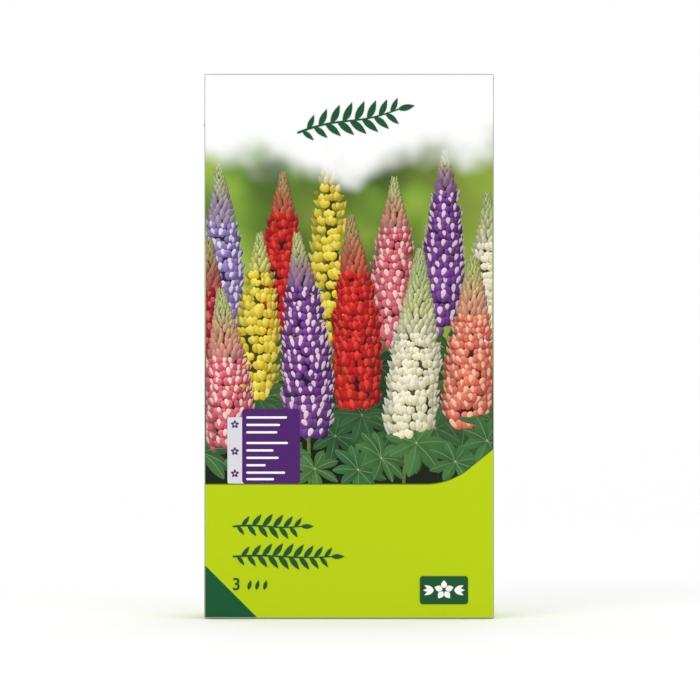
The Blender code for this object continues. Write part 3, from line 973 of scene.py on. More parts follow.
for number, (name, u, v, tall, wide, lean, bloom, depth, haze, opened, loose) in enumerate(SPIRES):
    seed = SPIRE_SEED + number
    made = spire(name, u, v, tall, wide, lean, BLOOMS[bloom], depth, seed, haze, opened, loose)
    spire_triangles += len(made.data.polygons)
print("spires", len(SPIRES), "with", spire_triangles, "triangles")

# %% [markdown]
# Hand-shaped leaves fill the foot of the bed: seven to nine leaflets spread from one point, each
# folded along a paler rib. A flat star would be quicker, but the fold is what catches the light.

# %% Leaves
LEAF_INKS = ((6, 26, 18), (16, 44, 20)), ((52, 112, 66), (104, 148, 76))
RIB_INK, HEART_INK = (132, 170, 118), (190, 210, 150)
LEAF_SEED, LEAF_OVERHANG = 70, 5
# For each row: leaves, height of its middle, spread, depth, brightness, reach
LEAF_ROWS = (13, 104, 16, 22, 0.34, 13), (12, 86, 13, 8, 0.55, 14), (9, 70, 9, -10, 0.86, 15)


def leaf_painter(dark, lit, dim):
    dark, lit = np.array(linear(*dark)), np.array(linear(*lit))

    def paint(tip, light):
        return (dark + (lit - dark) * min(light * 1.1, 1)) * dim * (0.8 + 0.2 * tip)

    return paint


def hand_leaf(bed, draw, centre, reach, tilt, spin, tone, dim):
    """Leaflets round one point, foreshortened by the leaf's tilt."""
    fingers = draw.randint(7, 9)
    dark, lit = (blend_inks(*pair, tone) for pair in LEAF_INKS)
    whole = turn("y", spin) @ turn("x", tilt)
    for k in range(fingers):
        angle = 360 * k / fingers + draw.uniform(-7, 7)
        length = reach * draw.uniform(0.85, 1.08)
        lean = whole @ turn("y", angle) @ turn("x", draw.uniform(-12, 6))
        shade = leaf_painter(dark, lit, dim * draw.uniform(0.75, 1.1))
        bed.add(LEAFLET, (length * 1.15, length, length), lean, centre, shade, 0.25)
        rib_size, rib_at = (length * 0.10, length, length * 0.97), centre + np.array((0, -0.4, 0))
        bed.add(LEAFLET, rib_size, lean, rib_at, painter(lit, RIB_INK, dim), 0.5)
    heart = painter(lit, HEART_INK, dim)
    bed.add(BUD, (1.1, 1.1, 1.1), turn("x", 0), centre + np.array((0, -1.2, 0)), heart)


for row, (count, base_v, spread, depth, dim, reach) in enumerate(LEAF_ROWS):
    draw = random.Random(LEAF_SEED + row)
    bed = Bed()
    for k in range(count):
        along = (k + draw.uniform(0.2, 0.8)) * (WIDE_MM + 2 * LEAF_OVERHANG) / count
        u = along - LEAF_OVERHANG
        centre = np.array((u - HALF_WIDE, depth, base_v + draw.uniform(-spread, spread)))
        long, tilt = reach * draw.uniform(0.8, 1.1), draw.uniform(-50, -18)
        hand_leaf(bed, draw, centre, long, tilt, draw.uniform(0, 50), draw.uniform(0.0, 1.0), dim)
    leaves = bed.piece(f"leaves_{row + 1}", ink_finish)
    print(leaves.name, len(leaves.data.polygons), "triangles")

# %% [markdown]
# Flat printed marks lie over the picture. Their outlines come from primitives, one each for a leaf, a
# petal, a disc and a rounded plate, and a Sheet collects copies of them into one thin piece for each
# ink. Nodes could draw them as they draw the band, but an outline as rich as a leafy twig is simpler as
# a mesh. A face's own rule turns (u, v) on that face into a point in the frame, so the same code prints
# the front, back and sides.


# %% Outlines of the flat marks
def outline_of(made):
    """The corners of a flat shape with one face, in order, and the object removed."""
    mesh = made.data
    corners = [tuple(mesh.vertices[k].co.xy) for k in mesh.polygons[0].vertices]
    bpy.data.objects.remove(made, do_unlink=True)
    return corners


def disc_outline(corners):
    clean_slate()
    bpy.ops.mesh.primitive_circle_add(vertices=corners, radius=0.5, fill_type="NGON")
    return outline_of(bpy.context.object)


def leaf_outline(belly, lean=0.0, fullness=0.85):
    """A leaf one long from its foot at the origin; belly is its width, low fullness puts it low."""
    clean_slate()
    bpy.ops.mesh.primitive_circle_add(vertices=24, radius=0.5, fill_type="NGON")
    made = bpy.context.object

    def narrow(p):
        along = p.y + 0.5
        half = belly / 2 * math.sin(math.pi * min(max(along, 0), 1) ** fullness)
        side = (1 if p.x > 0 else -1) * (abs(p.x) > 1e-6)
        return Vector((side * half + lean * along**2, along, 0))

    move_points(made, narrow)
    return outline_of(made)


def plate_outline(width, height, radius):
    """A rectangle centred on the origin with rounded corners, at its real size."""
    clean_slate()
    bpy.ops.mesh.primitive_plane_add(size=1)
    made = bpy.context.object
    bpy.ops.object.mode_set(mode="EDIT")
    bpy.ops.transform.resize(value=(width, height, 1))
    bpy.ops.mesh.select_all(action="SELECT")
    bpy.ops.mesh.bevel(offset=radius, offset_type="OFFSET", segments=5, affect="VERTICES")
    bpy.ops.object.mode_set(mode="OBJECT")
    return outline_of(made)


DISC = disc_outline(28)
LEAF = leaf_outline(0.36)
CURVED_LEAF = leaf_outline(0.34, 0.16)
MIRRORED_LEAF = [(-x, y) for x, y in CURVED_LEAF][::-1]
PETAL = leaf_outline(0.72)
DROP = leaf_outline(0.72, 0.0, 0.45)
print("leaf outline", len(LEAF), "corners; disc", len(DISC), "corners")

# %% Faces and sheets
STACK_STEP, STACK_LEVELS = 0.002, 9
UNDER_LIFT, MARK_LIFT, OVER_LIFT = 0.24, 0.26, 0.30
PETALS = 5
TWIG_STEPS, TWIG_OPENING = 12, 42
lid_low, lid_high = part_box("lid")


def on_front(u, v, lift):
    return Vector((low.x + u * MM, low.y - lift * MM, v * MM))


def on_back(u, v, lift):
    return Vector((high.x - u * MM, high.y + lift * MM, v * MM))


def on_left(u, v, lift):
    return Vector((low.x - lift * MM, high.y - u * MM, v * MM))


def on_right(u, v, lift):
    return Vector((high.x + lift * MM, low.y + u * MM, v * MM))


def on_lid(u, v, lift):
    return Vector((low.x + u * MM, lid_low.y + v * MM, lid_high.z + lift * MM * 0.5))


class Sheet:
    """Flat marks in one ink on one face, in millimetres from its lower left corner. Neighbours lie a
    hair apart in height, so that none shades another."""

    def __init__(self, face, lift=MARK_LIFT):
        self.face, self.lift = face, lift
        self.points, self.faces = [], []

    def add(self, outline, centre, size=1.0, angle=0.0):
        wide, tall = size if hasattr(size, "__len__") else (size, size)
        c, s = math.cos(math.radians(angle)), math.sin(math.radians(angle))
        start = len(self.points)
        lift = self.lift + STACK_STEP * (len(self.faces) % STACK_LEVELS)
        for x, y in outline:
            x, y = x * wide, y * tall
            self.points.append(self.face(centre[0] + c * x - s * y, centre[1] + s * x + c * y, lift))
        self.faces.append(tuple(range(start, len(self.points))))

    def plate(self, centre, width, height, radius):
        self.add(plate_outline(width, height, radius), centre)

    def bar(self, start, end, thick):
        """A straight line with round ends."""
        a, b = Vector(start), Vector(end)
        length = (b - a).length
        angle = math.degrees(math.atan2(b.y - a.y, b.x - a.x))
        self.add(plate_outline(length + thick, thick, thick * 0.49), (a + b) / 2, 1.0, angle)

    def lines(self, left, top, pitch, reaches):
        """Plain bars of these lengths under each other."""
        for line, reach in enumerate(reaches):
            self.bar((left, top - pitch * line), (left + reach, top - pitch * line), 0.9)

    def blossom(self, centre, reach):
        for k in range(PETALS):
            turned = 360 * k / PETALS
            c, s = math.cos(math.radians(turned)), math.sin(math.radians(turned))
            foot = (centre[0] - s * reach * 0.16, centre[1] + c * reach * 0.16)
            self.add(PETAL, foot, reach * 0.84, turned)

    def twig(self, start, end, leaf, pairs, thick, sway=0.0):
        """A stem from start to end with leaves along it, longest in the middle."""
        a, b = Vector(start), Vector(end)
        along = b - a
        across = Vector((-along.y, along.x)).normalized()
        angle = math.degrees(math.atan2(along.y, along.x))

        def at(t):
            return a + along * t + across * sway * math.sin(2 * math.pi * t)

        for k in range(TWIG_STEPS):
            taper = 1 - 0.4 * k / TWIG_STEPS
            self.bar(at(k / TWIG_STEPS), at((k + 1) / TWIG_STEPS), thick * taper)
        for k in range(pairs):
            for side, outline in ((-1, CURVED_LEAF), (1, MIRRORED_LEAF)):
                t = (k + 0.55 + 0.22 * side) / (pairs + 0.4)
                length = leaf * (0.72 + 0.38 * math.sin(math.pi * t))
                self.add(outline, at(t), length, angle - 90 + side * TWIG_OPENING)
        self.add(LEAF, at(1.0), leaf * 0.9, angle - 90)

    def piece(self, name, material, body="carton"):
        mesh = bpy.data.meshes.new(name)
        mesh.from_pydata([tuple(p) for p in self.points], [], self.faces)
        mesh.update()
        made = new_piece(name, mesh, material)
        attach(made, body)
        print(name, len(self.faces), "marks")


print("marks stand", MARK_LIFT, "mm off the board")


# %% Inks
def ink(name, red, green, blue, wander=0.05):
    """A printed ink: its colour wanders a little, as ink on board does, and it has the board's sheen."""
    finish = Finish(name)
    full = linear(red, green, blue)
    light = tuple(min(c * (1 + wander) + 0.004, 1) for c in full)
    dark = tuple(c * (1 - wander) for c in full)
    finish.colour(finish.mix(finish.noise(0.35, 3, 0.6), dark, light))
    return coated(finish)


GREEN_INK = ink("green_ink", 20, 82, 46)
PURPLE_INK = ink("purple_ink", 76, 30, 106)
PALE_INK = ink("pale_ink", 214, 214, 222, 0.02)
WHITE_INK = ink("white_ink", 246, 247, 244, 0.01)
LIME_INK = ink("lime_ink", 184, 206, 0)
print("five inks")

# %% [markdown]
# On the front: a purple panel with a pale strip beside it, a leafy twig in the bare white at the top,
# two sprigs and a plain count in the lime band, and a dark green plate with a blossom. The count is a
# text object turned into a mesh, because a font's numeral is already well drawn.

# %% Front marks
PANEL, STRIP = (28.8, 74.2), (13.8, 72.4)
STRIP_BLOSSOMS_U, STRIP_BLOSSOMS_V = 13.2, (83.6, 72.0, 62.4)
PANEL_LEFT = 18.6
PANEL_LINES = (
    (86.6, 35.2), (83.4, 32.2), (80.2, 31.0),
    (75.6, 35.6), (72.4, 29.4), (69.2, 31.6),
    (66.0, 26.0), (62.8, 34.4), (60.0, 29.6),
)
PLATE = (103.4, 12.1)
COUNT_AT, COUNT_SIZE, COUNT_WEIGHT = (12.0, 12.2), 7.4, 0.10

purple = Sheet(on_front)
purple.plate(PANEL, 25.0, 32.2, 1.4)
for height in STRIP_BLOSSOMS_V:
    purple.blossom((STRIP_BLOSSOMS_U, height), 1.9)
purple.piece("purple_panel", PURPLE_INK)

pale = Sheet(on_front, UNDER_LIFT)
pale.plate(STRIP, 7.6, 28.6, 0.8)
pale.piece("pale_strip", PALE_INK)

white = Sheet(on_front, OVER_LIFT)
for height, reach in PANEL_LINES:
    white.bar((PANEL_LEFT, height), (reach, height), 0.95)
white.blossom(PLATE, 4.3)
for side in (-1, 1):
    for angle in (62, 90, 118):
        white.add(LEAF, (PLATE[0] + side * 4.4, PLATE[1]), 4.6, -side * angle)
white.piece("white_marks", WHITE_INK)

green = Sheet(on_front)
green.plate(PLATE, 20.8, 12.1, 1.3)
green.twig((40.5, 209.5), (83.5, 219.5), 8.4, 8, 0.95, 0.9)
green.twig((12.6, 39.6), (41.6, 39.6), 6.2, 6, 0.8, 0.4)
green.twig((12.6, 26.6), (54.6, 26.6), 6.6, 9, 0.8, 0.4)
for k in range(3):
    green.add(LEAF, (19.0 + 3.4 * k, 12.2), (4.6, 4.4), -14)
green.piece("green_marks", GREEN_INK)

heart = Sheet(on_front, OVER_LIFT)
heart.add(DISC, PLATE, 2.2)
heart.piece("plate_blossom_heart", GREEN_INK)

# %% The count
clean_slate()
bpy.ops.object.text_add()
count = bpy.context.object
count.name = "count_numeral"
count.data.body = "3"
count.data.size = COUNT_SIZE * MM
count.data.offset = COUNT_WEIGHT * MM
bpy.ops.object.convert(target="MESH")
count = bpy.context.object
start = on_front(*COUNT_AT, MARK_LIFT)
move_points(count, lambda p: Vector((start.x + p.x, start.y, start.z + p.y)))
coat(count, GREEN_INK)
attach(count, "carton")
print("count numeral", len(count.data.polygons), "faces")

# %% [markdown]
# The other faces carry on the front's scheme: the lime band runs round the carton at the height it
# leaves the front, the dark corner folds onto the left side, and everything above is bare white. One
# function prints all three, so that the band and the lines meet at the corners.

# %% Side and back print
BAND_RIGHT = BAND_TOP + band_rise(WIDE_MM)


def banded_face(finish, u, edge, wide, corner_at=None):
    """Print for one face that is wide across, with u from its left edge and the band up to edge."""
    v = finish.z
    shown = lime_band(finish, PAPER_WHITE, v, edge)
    if corner_at is not None:
        shown = dark_corner(finish, shown, abs(u - corner_at) + v)
    # The thin grey line round the face: partly keyline print, partly painted shade on the bend of its edges
    finish.colour(keyline_and_edge_shade(finish, shown, u, wide - u, v))
    return coated(finish)


left = Finish("printed_left")
coat(left_print, banded_face(left, HALF_DEEP - left.y, BAND_TOP, DEEP_MM, DEEP_MM))
right = Finish("printed_right")
coat(right_print, banded_face(right, right.y + HALF_DEEP, BAND_RIGHT, DEEP_MM))
back = Finish("printed_back")
back_u = HALF_WIDE - back.x
coat(back_print, banded_face(back, back_u, band_edge(back, WIDE_MM - back_u), WIDE_MM))
print("band meets the right side at", round(BAND_RIGHT, 1), "mm")

# %% [markdown]
# Inside, the board is raw grey pulp. A CAD panel can't be split, so its printed or coated side is told
# from the raw one by height or depth, and takes its colour within two hundredths of a millimetre.


# %% Raw board
def board_colour(finish):
    """Raw carton board: a warm grey pulp with darker and lighter fibres lying every way."""
    stretched = finish.nodes.new("ShaderNodeVectorMath")
    stretched.operation = "MULTIPLY"
    finish.links.new(finish.place, stretched.inputs[0])
    stretched.inputs[1].default_value = (2.6, 2.6, 0.5)
    fibres = finish.noise(1.0, 3, 0.5, stretched.outputs[0])
    pulp = finish.mix(finish.noise(0.09, 2), linear(196, 186, 164), linear(216, 208, 188))
    strands = finish.ramp(
        fibres, [(0.30, (0.62, 0.60, 0.55)), (0.44, (0.97, 0.97, 0.97)), (0.72, (1, 1, 1))]
    )
    finish.rough(0.86)
    finish.bump(fibres, 0.03, 0.5)
    return finish.mix(0.55, pulp, finish.mix(1.0, pulp, strands, "MULTIPLY"))


def dress(node, material):
    """Gives a CAD node a material without touching its mesh."""
    made = bpy.data.objects[node]
    if not made.material_slots:
        made.data.materials.append(None)
    for place in made.material_slots:
        place.link = "OBJECT"
        place.material = material


def dress_board(node, name, axis, edge, inwards, over):
    """Raw board, printed or coated over where the axis passes the edge; inwards points to raw."""
    finish = Finish(name)
    value = finish.y if axis == "y" else finish.z
    printed = finish.soft_step(value, edge + 0.03 * inwards, edge + 0.01 * inwards)
    finish.colour(finish.mix(printed, board_colour(finish), over))
    dress(node, finish.material)
    print(name, "printed past", round(edge, 2), "mm")


carton_finish = Finish("carton_board")
underside = carton_finish.soft_step(carton_finish.z, 0.10, 0.05)
carton_finish.colour(carton_finish.mix(underside, board_colour(carton_finish), LIME))
dress("carton_body", carton_finish.material)
dress_board("lid", "lid_board", "z", TALL_MM, -1, LIME)
dress_board("tuck_flap", "tuck_board", "y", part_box("tuck_flap")[0].y / MM, 1, PAPER_WHITE)
for node in ("dust_flap_left", "dust_flap_right"):
    dress_board(node, f"{node}_board", "z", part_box(node)[1].z / MM, -1, PAPER_WHITE)

# %% [markdown]
# Marks for the other faces: a sun, a drop and a height arrow on the left side, sprigs on the right,
# three steps and a planting calendar on the back, and a twig on the lid. Each sign could be a drawing
# of its own, but a few bars, discs and leaves make them all.


# %% Signs
def sun(sheet, u, v, reach):
    sheet.add(DISC, (u, v), reach)
    for k in range(8):
        c, s = math.cos(math.radians(45 * k)), math.sin(math.radians(45 * k))
        near, far = reach * 0.72, reach * 1.05
        sheet.bar((u + c * near, v + s * near), (u + c * far, v + s * far), reach * 0.16)


def drop(sheet, u, v, reach):
    sheet.add(DROP, (u, v - reach * 0.85), reach * 1.9)


def tall_arrow(sheet, u, v, reach):
    """A double arrow beside a sprig, for the plant's height."""
    stem, sprig = u - reach * 0.5, u + reach * 0.45
    sheet.bar((stem, v - reach), (stem, v + reach), reach * 0.16)
    for side in (-1, 1):
        for end in (-1, 1):
            tip = (stem, v + end * reach)
            sheet.bar(tip, (tip[0] + side * reach * 0.3, tip[1] - end * reach * 0.36), reach * 0.16)
    sheet.twig((sprig, v - reach), (sprig, v + reach * 0.6), reach * 0.5, 3, reach * 0.14)


def planting(sheet, u, v, reach):
    """A root under a line of soil with two leaves above it."""
    sheet.bar((u - reach, v), (u + reach, v), reach * 0.12)
    for k in range(4):
        near, below = u - reach * 0.8 + k * reach * 0.5, v - reach * 0.25
        sheet.bar((near, below), (near + reach * 0.18, below), reach * 0.1)
    sheet.add(LEAF, (u, v), (reach, reach * 0.95), 180)
    for angle in (22, -22):
        sheet.add(LEAF, (u, v), reach * 0.9, angle)


print("four signs")

# %% Marks on the sides
PLATE_SIDE = 17
SIDE_SIGNS = (185, sun), (135, drop), (85, tall_arrow)
side_plates, side_white, left_green = Sheet(on_left), Sheet(on_left, OVER_LIFT), Sheet(on_left)
for height, draw_sign in SIDE_SIGNS:
    side_plates.plate((HALF_DEEP, height), PLATE_SIDE, PLATE_SIDE, 1.6)
    draw_sign(side_white, HALF_DEEP, height, 5.0)
left_green.twig((HALF_DEEP - 15, 213), (HALF_DEEP + 15, 213), 6.2, 6, 0.8, 0.4)
side_plates.piece("left_plates", PURPLE_INK)
side_white.piece("left_icons", WHITE_INK)
left_green.piece("left_twig", GREEN_INK)

right_green = Sheet(on_right)
for height in (76, 126, 176):
    right_green.twig((HALF_DEEP, height), (HALF_DEEP, height + 22), 7.6, 5, 0.9, 0.5)
right_green.twig((HALF_DEEP - 15, 216), (HALF_DEEP + 15, 216), 6.2, 6, 0.8, 0.4)
for k in range(3):
    right_green.blossom((HALF_DEEP - 11 + 11 * k, 30), 3.6)
right_green.piece("right_twigs", GREEN_INK)

# %% Marks on the back and the lid
BACK_PLATE, BACK_PLATE_V = 27, 180
BACK_SIGNS = (25.5, planting), (62.5, drop), (99.5, sun)
MONTH_LEFT, MONTH_PITCH, MONTH_ROWS, MONTH_DOTS = 16.5, 8.9, (128, 119), 111.5
PLANTING_MONTHS, FLOWER_MONTHS = (2, 3, 4, 8, 9), (5, 6, 7)
back_green, back_plates, back_white = Sheet(on_back), Sheet(on_back), Sheet(on_back, OVER_LIFT)
back_pale, back_lime = Sheet(on_back), Sheet(on_back)
back_green.twig((38, 212), (86, 218), 8.4, 9, 0.95, 0.9)
for u, draw_sign in BACK_SIGNS:
    back_plates.plate((u, BACK_PLATE_V), BACK_PLATE, BACK_PLATE, 2.2)
    draw_sign(back_white, u, BACK_PLATE_V, 7.6)
    back_green.lines(u - 13, 161, 3.6, (26, 22, 25, 15))
for month in range(12):
    u = MONTH_LEFT + MONTH_PITCH * month
    for v, sheet, months in zip(MONTH_ROWS, (back_lime, back_plates), (PLANTING_MONTHS, FLOWER_MONTHS)):
        chosen = sheet if month in months else back_pale
        chosen.plate((u, v), 8.0, 7.0, 0.7)
    back_green.add(DISC, (u, MONTH_DOTS), 0.9 if month % 3 else 1.7)
back_green.lines(16, 98, 4.0, (92, 84, 95, 60))
back_green.twig((14, 40), (54, 40), 6.4, 8, 0.8, 0.4)
back_green.lines(15, 28, 4.0, (48, 40, 44))
back_plates.piece("back_plates", PURPLE_INK)
back_white.piece("back_icons", WHITE_INK)
back_pale.piece("back_empty_months", PALE_INK)
back_lime.piece("back_planting_months", LIME_INK)
back_green.piece("back_lines", GREEN_INK)

lid_green = Sheet(on_lid)
lid_green.twig((26, 21), (97, 21), 9.6, 11, 1.0, 0.8)
lid_green.piece("lid_twig", GREEN_INK, "lid")

# %% [markdown]
# A fold on a real carton is a crease that bends. If a panel's own mesh reached over it, it would tear
# away from the next one as the lid opens, so each fold is a strip of its own: a grid rolled over the
# corner and standing out a little along the crease.

# %% Folds
FOLD_THICK = 0.12 * MM
FOLD_STEPS = 24
BACK_FOLD_HALF, TUCK_FOLD_HALF = 61.7, 59.2
DUST_FOLD_START, DUST_FOLD_END = -19.6, 20.4
# Each section lists (outwards, up) in millimetres, from the panel that holds round to the one that turns
BACK_SECTION = (
    (22.54, 233.2), (22.55, 233.9), (22.60, 234.3), (22.56, 234.62),
    (22.42, 234.88), (22.15, 235.03), (21.6, 235.04), (21.0, 235.02),
)
TUCK_SECTION = (
    (-18.6, 235.02), (-19.2, 235.04), (-19.8, 235.03), (-20.3, 234.97),
    (-20.68, 234.84), (-20.90, 234.58), (-20.96, 234.2), (-20.94, 233.6),
)
DUST_SECTION = (
    (62.54, 232.6), (62.55, 233.1), (62.58, 233.4), (62.54, 233.7),
    (62.42, 233.95), (62.2, 234.1), (61.6, 234.14), (60.9, 234.12),
)


def fold_strip(name, across, span, material):
    """across lists the strip's cross-section as points at one end; span moves them to the other."""
    clean_slate()
    last = len(across) - 1
    bpy.ops.mesh.primitive_grid_add(x_subdivisions=last, y_subdivisions=FOLD_STEPS, size=1)
    made = bpy.context.object
    made.name = name

    def roll(p):
        return (Vector(across[round((p.x + 0.5) * last)]) + Vector(span) * (p.y + 0.5)) * MM

    move_points(made, roll)
    apply(made, "SOLIDIFY", thickness=FOLD_THICK, offset=-1)
    bpy.ops.object.mode_set(mode="EDIT")
    bpy.ops.mesh.select_all(action="SELECT")
    bpy.ops.mesh.normals_make_consistent(inside=False)
    bpy.ops.object.mode_set(mode="OBJECT")
    made.data.shade_smooth()
    made.data.materials.append(material)
    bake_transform(made)
    print(name, len(made.data.polygons), "faces")


lime_fold = ink("lime_fold", 176, 198, 4)
white_fold = ink("white_fold", 240, 241, 237, 0.01)
fold_strip(
    "back_fold", [(-BACK_FOLD_HALF, y, z) for y, z in BACK_SECTION], (2 * BACK_FOLD_HALF, 0, 0),
    lime_fold,
)
fold_strip(
    "tuck_fold", [(-TUCK_FOLD_HALF, y, z) for y, z in TUCK_SECTION], (2 * TUCK_FOLD_HALF, 0, 0),
    lime_fold,
)
for side, name in ((-1, "left"), (1, "right")):
    fold_strip(
        f"{name}_fold", [(side * x, DUST_FOLD_START, z) for x, z in DUST_SECTION],
        (0, DUST_FOLD_END - DUST_FOLD_START, 0),
        white_fold,
    )

# %% [markdown]
# The bag is thin film, crinkled as it was when it was filled and folded over. A grid is rolled round
# the peat, drawn together at its foot, and left open at its pinched mouth. Long soft folds and sharper
# creases push it in and out, most where nothing fills it. A cloth simulation could crumple it, but a bag
# that lies tight round its filling needs little more than its creases, and noise gives those at once.

# %% Bag measures
BAG_HALF_X, BAG_HALF_Y, BAG_CENTRE_Y, BAG_CORNER = 61.3, 21.1, -0.2, 6.0
BAG_FOOT, BAG_SHOULDER, BAG_MOUTH = 2.1, 152.0, 190.0
MOUTH_HALF_Y = 7.0
FOOT_SHARE, FOOT_WIDTH = 0.08, 0.66
FILM_THICK = 0.06 * MM
FILM_ALPHA = 0.17
BAG_ACROSS, BAG_UP = 168, 96


def round_box_at(share, half_x, half_y, radius):
    """A point a share of the way round a rounded rectangle, starting in the middle of its back."""
    side, end = 2 * (half_x - radius), 2 * (half_y - radius)
    corner = math.pi / 2 * radius
    run = (share % 1.0) * (2 * side + 2 * end + 4 * corner) + side / 2
    for turns in range(5):
        length = side if turns % 2 == 0 else end
        reach = half_y if turns % 2 == 0 else half_x
        heading = math.radians(180 - 90 * turns)
        out = math.radians(90 - 90 * turns)
        if run <= length:
            along = run - length / 2
            return (
                math.cos(out) * reach - math.cos(heading) * along,
                math.sin(out) * reach - math.sin(heading) * along,
            )
        run -= length
        if run <= corner:
            angle = out - run / radius
            right = math.cos(out) + math.cos(out - math.pi / 2) > 0
            rear = math.sin(out) + math.sin(out - math.pi / 2) > 0
            base_x = (half_x - radius) * (1 if right else -1)
            base_y = (half_y - radius) * (1 if rear else -1)
            return base_x + math.cos(angle) * radius, base_y + math.sin(angle) * radius
        run -= corner
    return 0.0, half_y


def creases(x, y, z):
    """0 on a crest and 1 in a crease: long leaning folds with finer ones across them."""
    long_fold = abs(noise.noise(Vector((x * 0.045 + z * 0.030, y * 0.07, z * 0.022))))
    fine_fold = abs(noise.noise(Vector((x * 0.16 - z * 0.08, y * 0.2, z * 0.12 + 9))))
    return min(1.0, 1.3 * math.sqrt(long_fold) * 0.7 + fine_fold * 0.9)


print("bag", 2 * BAG_HALF_X, "by", 2 * BAG_HALF_Y, "mm, open at", BAG_MOUTH)


# %% Film bag
def bag_place(p):
    share, rise = p.x + 0.5, p.y + 0.5
    if rise < FOOT_SHARE:
        close = max(rise / FOOT_SHARE, 0.0)
        x, y = round_box_at(share, BAG_HALF_X, BAG_HALF_Y, BAG_CORNER)
        narrow = FOOT_WIDTH + (1 - FOOT_WIDTH) * close
        return Vector((x * narrow, BAG_CENTRE_Y + y * close, BAG_FOOT)) * MM
    z = BAG_FOOT + (BAG_MOUTH - BAG_FOOT) * (rise - FOOT_SHARE) / (1 - FOOT_SHARE)
    loose = min(max((z - BAG_SHOULDER) / (BAG_MOUTH - BAG_SHOULDER), 0), 1)
    eased = loose * loose * (3 - 2 * loose)
    half_y = BAG_HALF_Y + (MOUTH_HALF_Y - BAG_HALF_Y) * eased
    x, y = round_box_at(share, BAG_HALF_X, half_y, min(BAG_CORNER, half_y - 0.5))
    push = creases(x, y, z) * (0.50 + 2.2 * eased)
    inward = Vector((x / BAG_HALF_X, y / half_y))
    inward = inward / max(abs(inward.x), abs(inward.y))
    wave = 1.3 * loose * math.sin(x / 9) * max(0, 1 - (x / 56) ** 2)
    x -= push * (inward.x if abs(inward.x) > 0.98 else 0)
    y -= push * (inward.y if abs(inward.y) > 0.98 else 0) - wave
    lip = 1.6 * loose**6 * math.sin(x / 6.5 + y)
    return Vector((x, BAG_CENTRE_Y + y, min(z + min(lip, 0), BAG_MOUTH))) * MM


clean_slate()
bpy.ops.mesh.primitive_grid_add(x_subdivisions=BAG_ACROSS, y_subdivisions=BAG_UP, size=1)
bag = bpy.context.object
bag.name = "film_bag"
move_points(bag, bag_place)
bpy.ops.object.mode_set(mode="EDIT")
bpy.ops.mesh.select_all(action="SELECT")
bpy.ops.mesh.remove_doubles(threshold=0.02 * MM)
bpy.ops.mesh.normals_make_consistent(inside=False)
bpy.ops.object.mode_set(mode="OBJECT")
apply(bag, "SOLIDIFY", thickness=FILM_THICK, offset=-1)
bag.data.shade_smooth()
film = Finish("crinkled_film", 0.16, 0.5)
film.colour(film.mix(film.noise(0.05, 2), linear(222, 228, 230), linear(240, 243, 244)))
film.rough(film.noise(0.5, 3) * 0.14 + 0.12)
film.bump(film.noise(0.7, 4, 0.62), 0.25, 0.6)
film.shader.inputs["Alpha"].default_value = FILM_ALPHA
coat(bag, film.material)
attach(bag, "carton")
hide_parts("inner_bag")
print("film bag", len(bag.data.polygons), "faces")

# %% [markdown]
# Damp peat is a dark crumb with paler fibres. A bump in the material would leave its edges smooth, so
# the block's own shape is copied, made even with a voxel remesh and worn down, and loose crumbs and
# fibres lie over its top.


# %% Loose matter
class Heap:
    """Copies of shapes gathered into one solid piece, placed in millimetres."""

    def __init__(self):
        self.points, self.triangles, self.count = [], [], 0

    def add(self, shape, size, turned, place):
        points, triangles, _ = shape
        self.points.append((points * np.array(size, float)) @ turned.T + np.array(place))
        self.triangles.append(triangles + self.count)
        self.count += len(points)

    def piece(self, name, material, slot):
        points = np.concatenate(self.points) * MM
        triangles = np.concatenate(self.triangles)
        mesh = bpy.data.meshes.new(name)
        mesh.from_pydata(points.tolist(), [], triangles.tolist())
        mesh.shade_smooth()
        made = new_piece(name, mesh, material)
        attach(made, "carton")
        print(name, len(triangles), "triangles")


def make_crumb():
    clean_slate()
    bpy.ops.mesh.primitive_ico_sphere_add(subdivisions=1, radius=0.5)
    made = bpy.context.object
    move_points(made, lambda p: p * (1 + 0.35 * noise.noise(p * 5)))
    return shape_of(made)


def make_fibre():
    """A thin thread, three-sided along the third axis and thickest in its middle."""
    clean_slate()
    bpy.ops.mesh.primitive_cylinder_add(vertices=3, radius=0.5, depth=1)
    made = bpy.context.object
    bpy.ops.object.mode_set(mode="EDIT")
    for cut_at in (0, -0.25, 0.25):
        bpy.ops.mesh.select_all(action="SELECT")
        bpy.ops.mesh.bisect(plane_co=(0, 0, cut_at), plane_no=(0, 0, 1))
    bpy.ops.object.mode_set(mode="OBJECT")
    move_points(made, lambda p: Vector((p.x * (1.1 - abs(p.z)), p.y * (1.1 - abs(p.z)), p.z)))
    return shape_of(made)


CRUMB, FIBRE = make_crumb(), make_fibre()
print("a crumb has", len(CRUMB[1]), "triangles and a fibre", len(FIBRE[1]))

# %% Peat block
PEAT_VOXEL = 1.35 * MM
cad_peat = bpy.data.objects["peat_block"]
peat_mass = bpy.data.objects.new("peat_mass", cad_peat.data.copy())
bpy.context.scene.collection.objects.link(peat_mass)
peat_mass.data.transform(cad_peat.matrix_world)
clean_slate()
peat_mass.select_set(True)
bpy.context.view_layer.objects.active = peat_mass
bpy.ops.object.mode_set(mode="EDIT")
bpy.ops.mesh.select_all(action="SELECT")
bpy.ops.mesh.remove_doubles(threshold=0.005 * MM)
bpy.ops.object.mode_set(mode="OBJECT")
apply(peat_mass, "REMESH", mode="VOXEL", voxel_size=PEAT_VOXEL)
rest_normals = [v.normal.copy() for v in peat_mass.data.vertices]
for vertex, normal in zip(peat_mass.data.vertices, rest_normals):
    at = vertex.co / MM
    worn = 0.55 * abs(noise.noise(at * 0.55)) + 0.75 * abs(noise.noise(at * 0.24 + Vector((3, 5, 7))))
    vertex.co -= normal * worn * MM
peat_mass.data.shade_smooth()

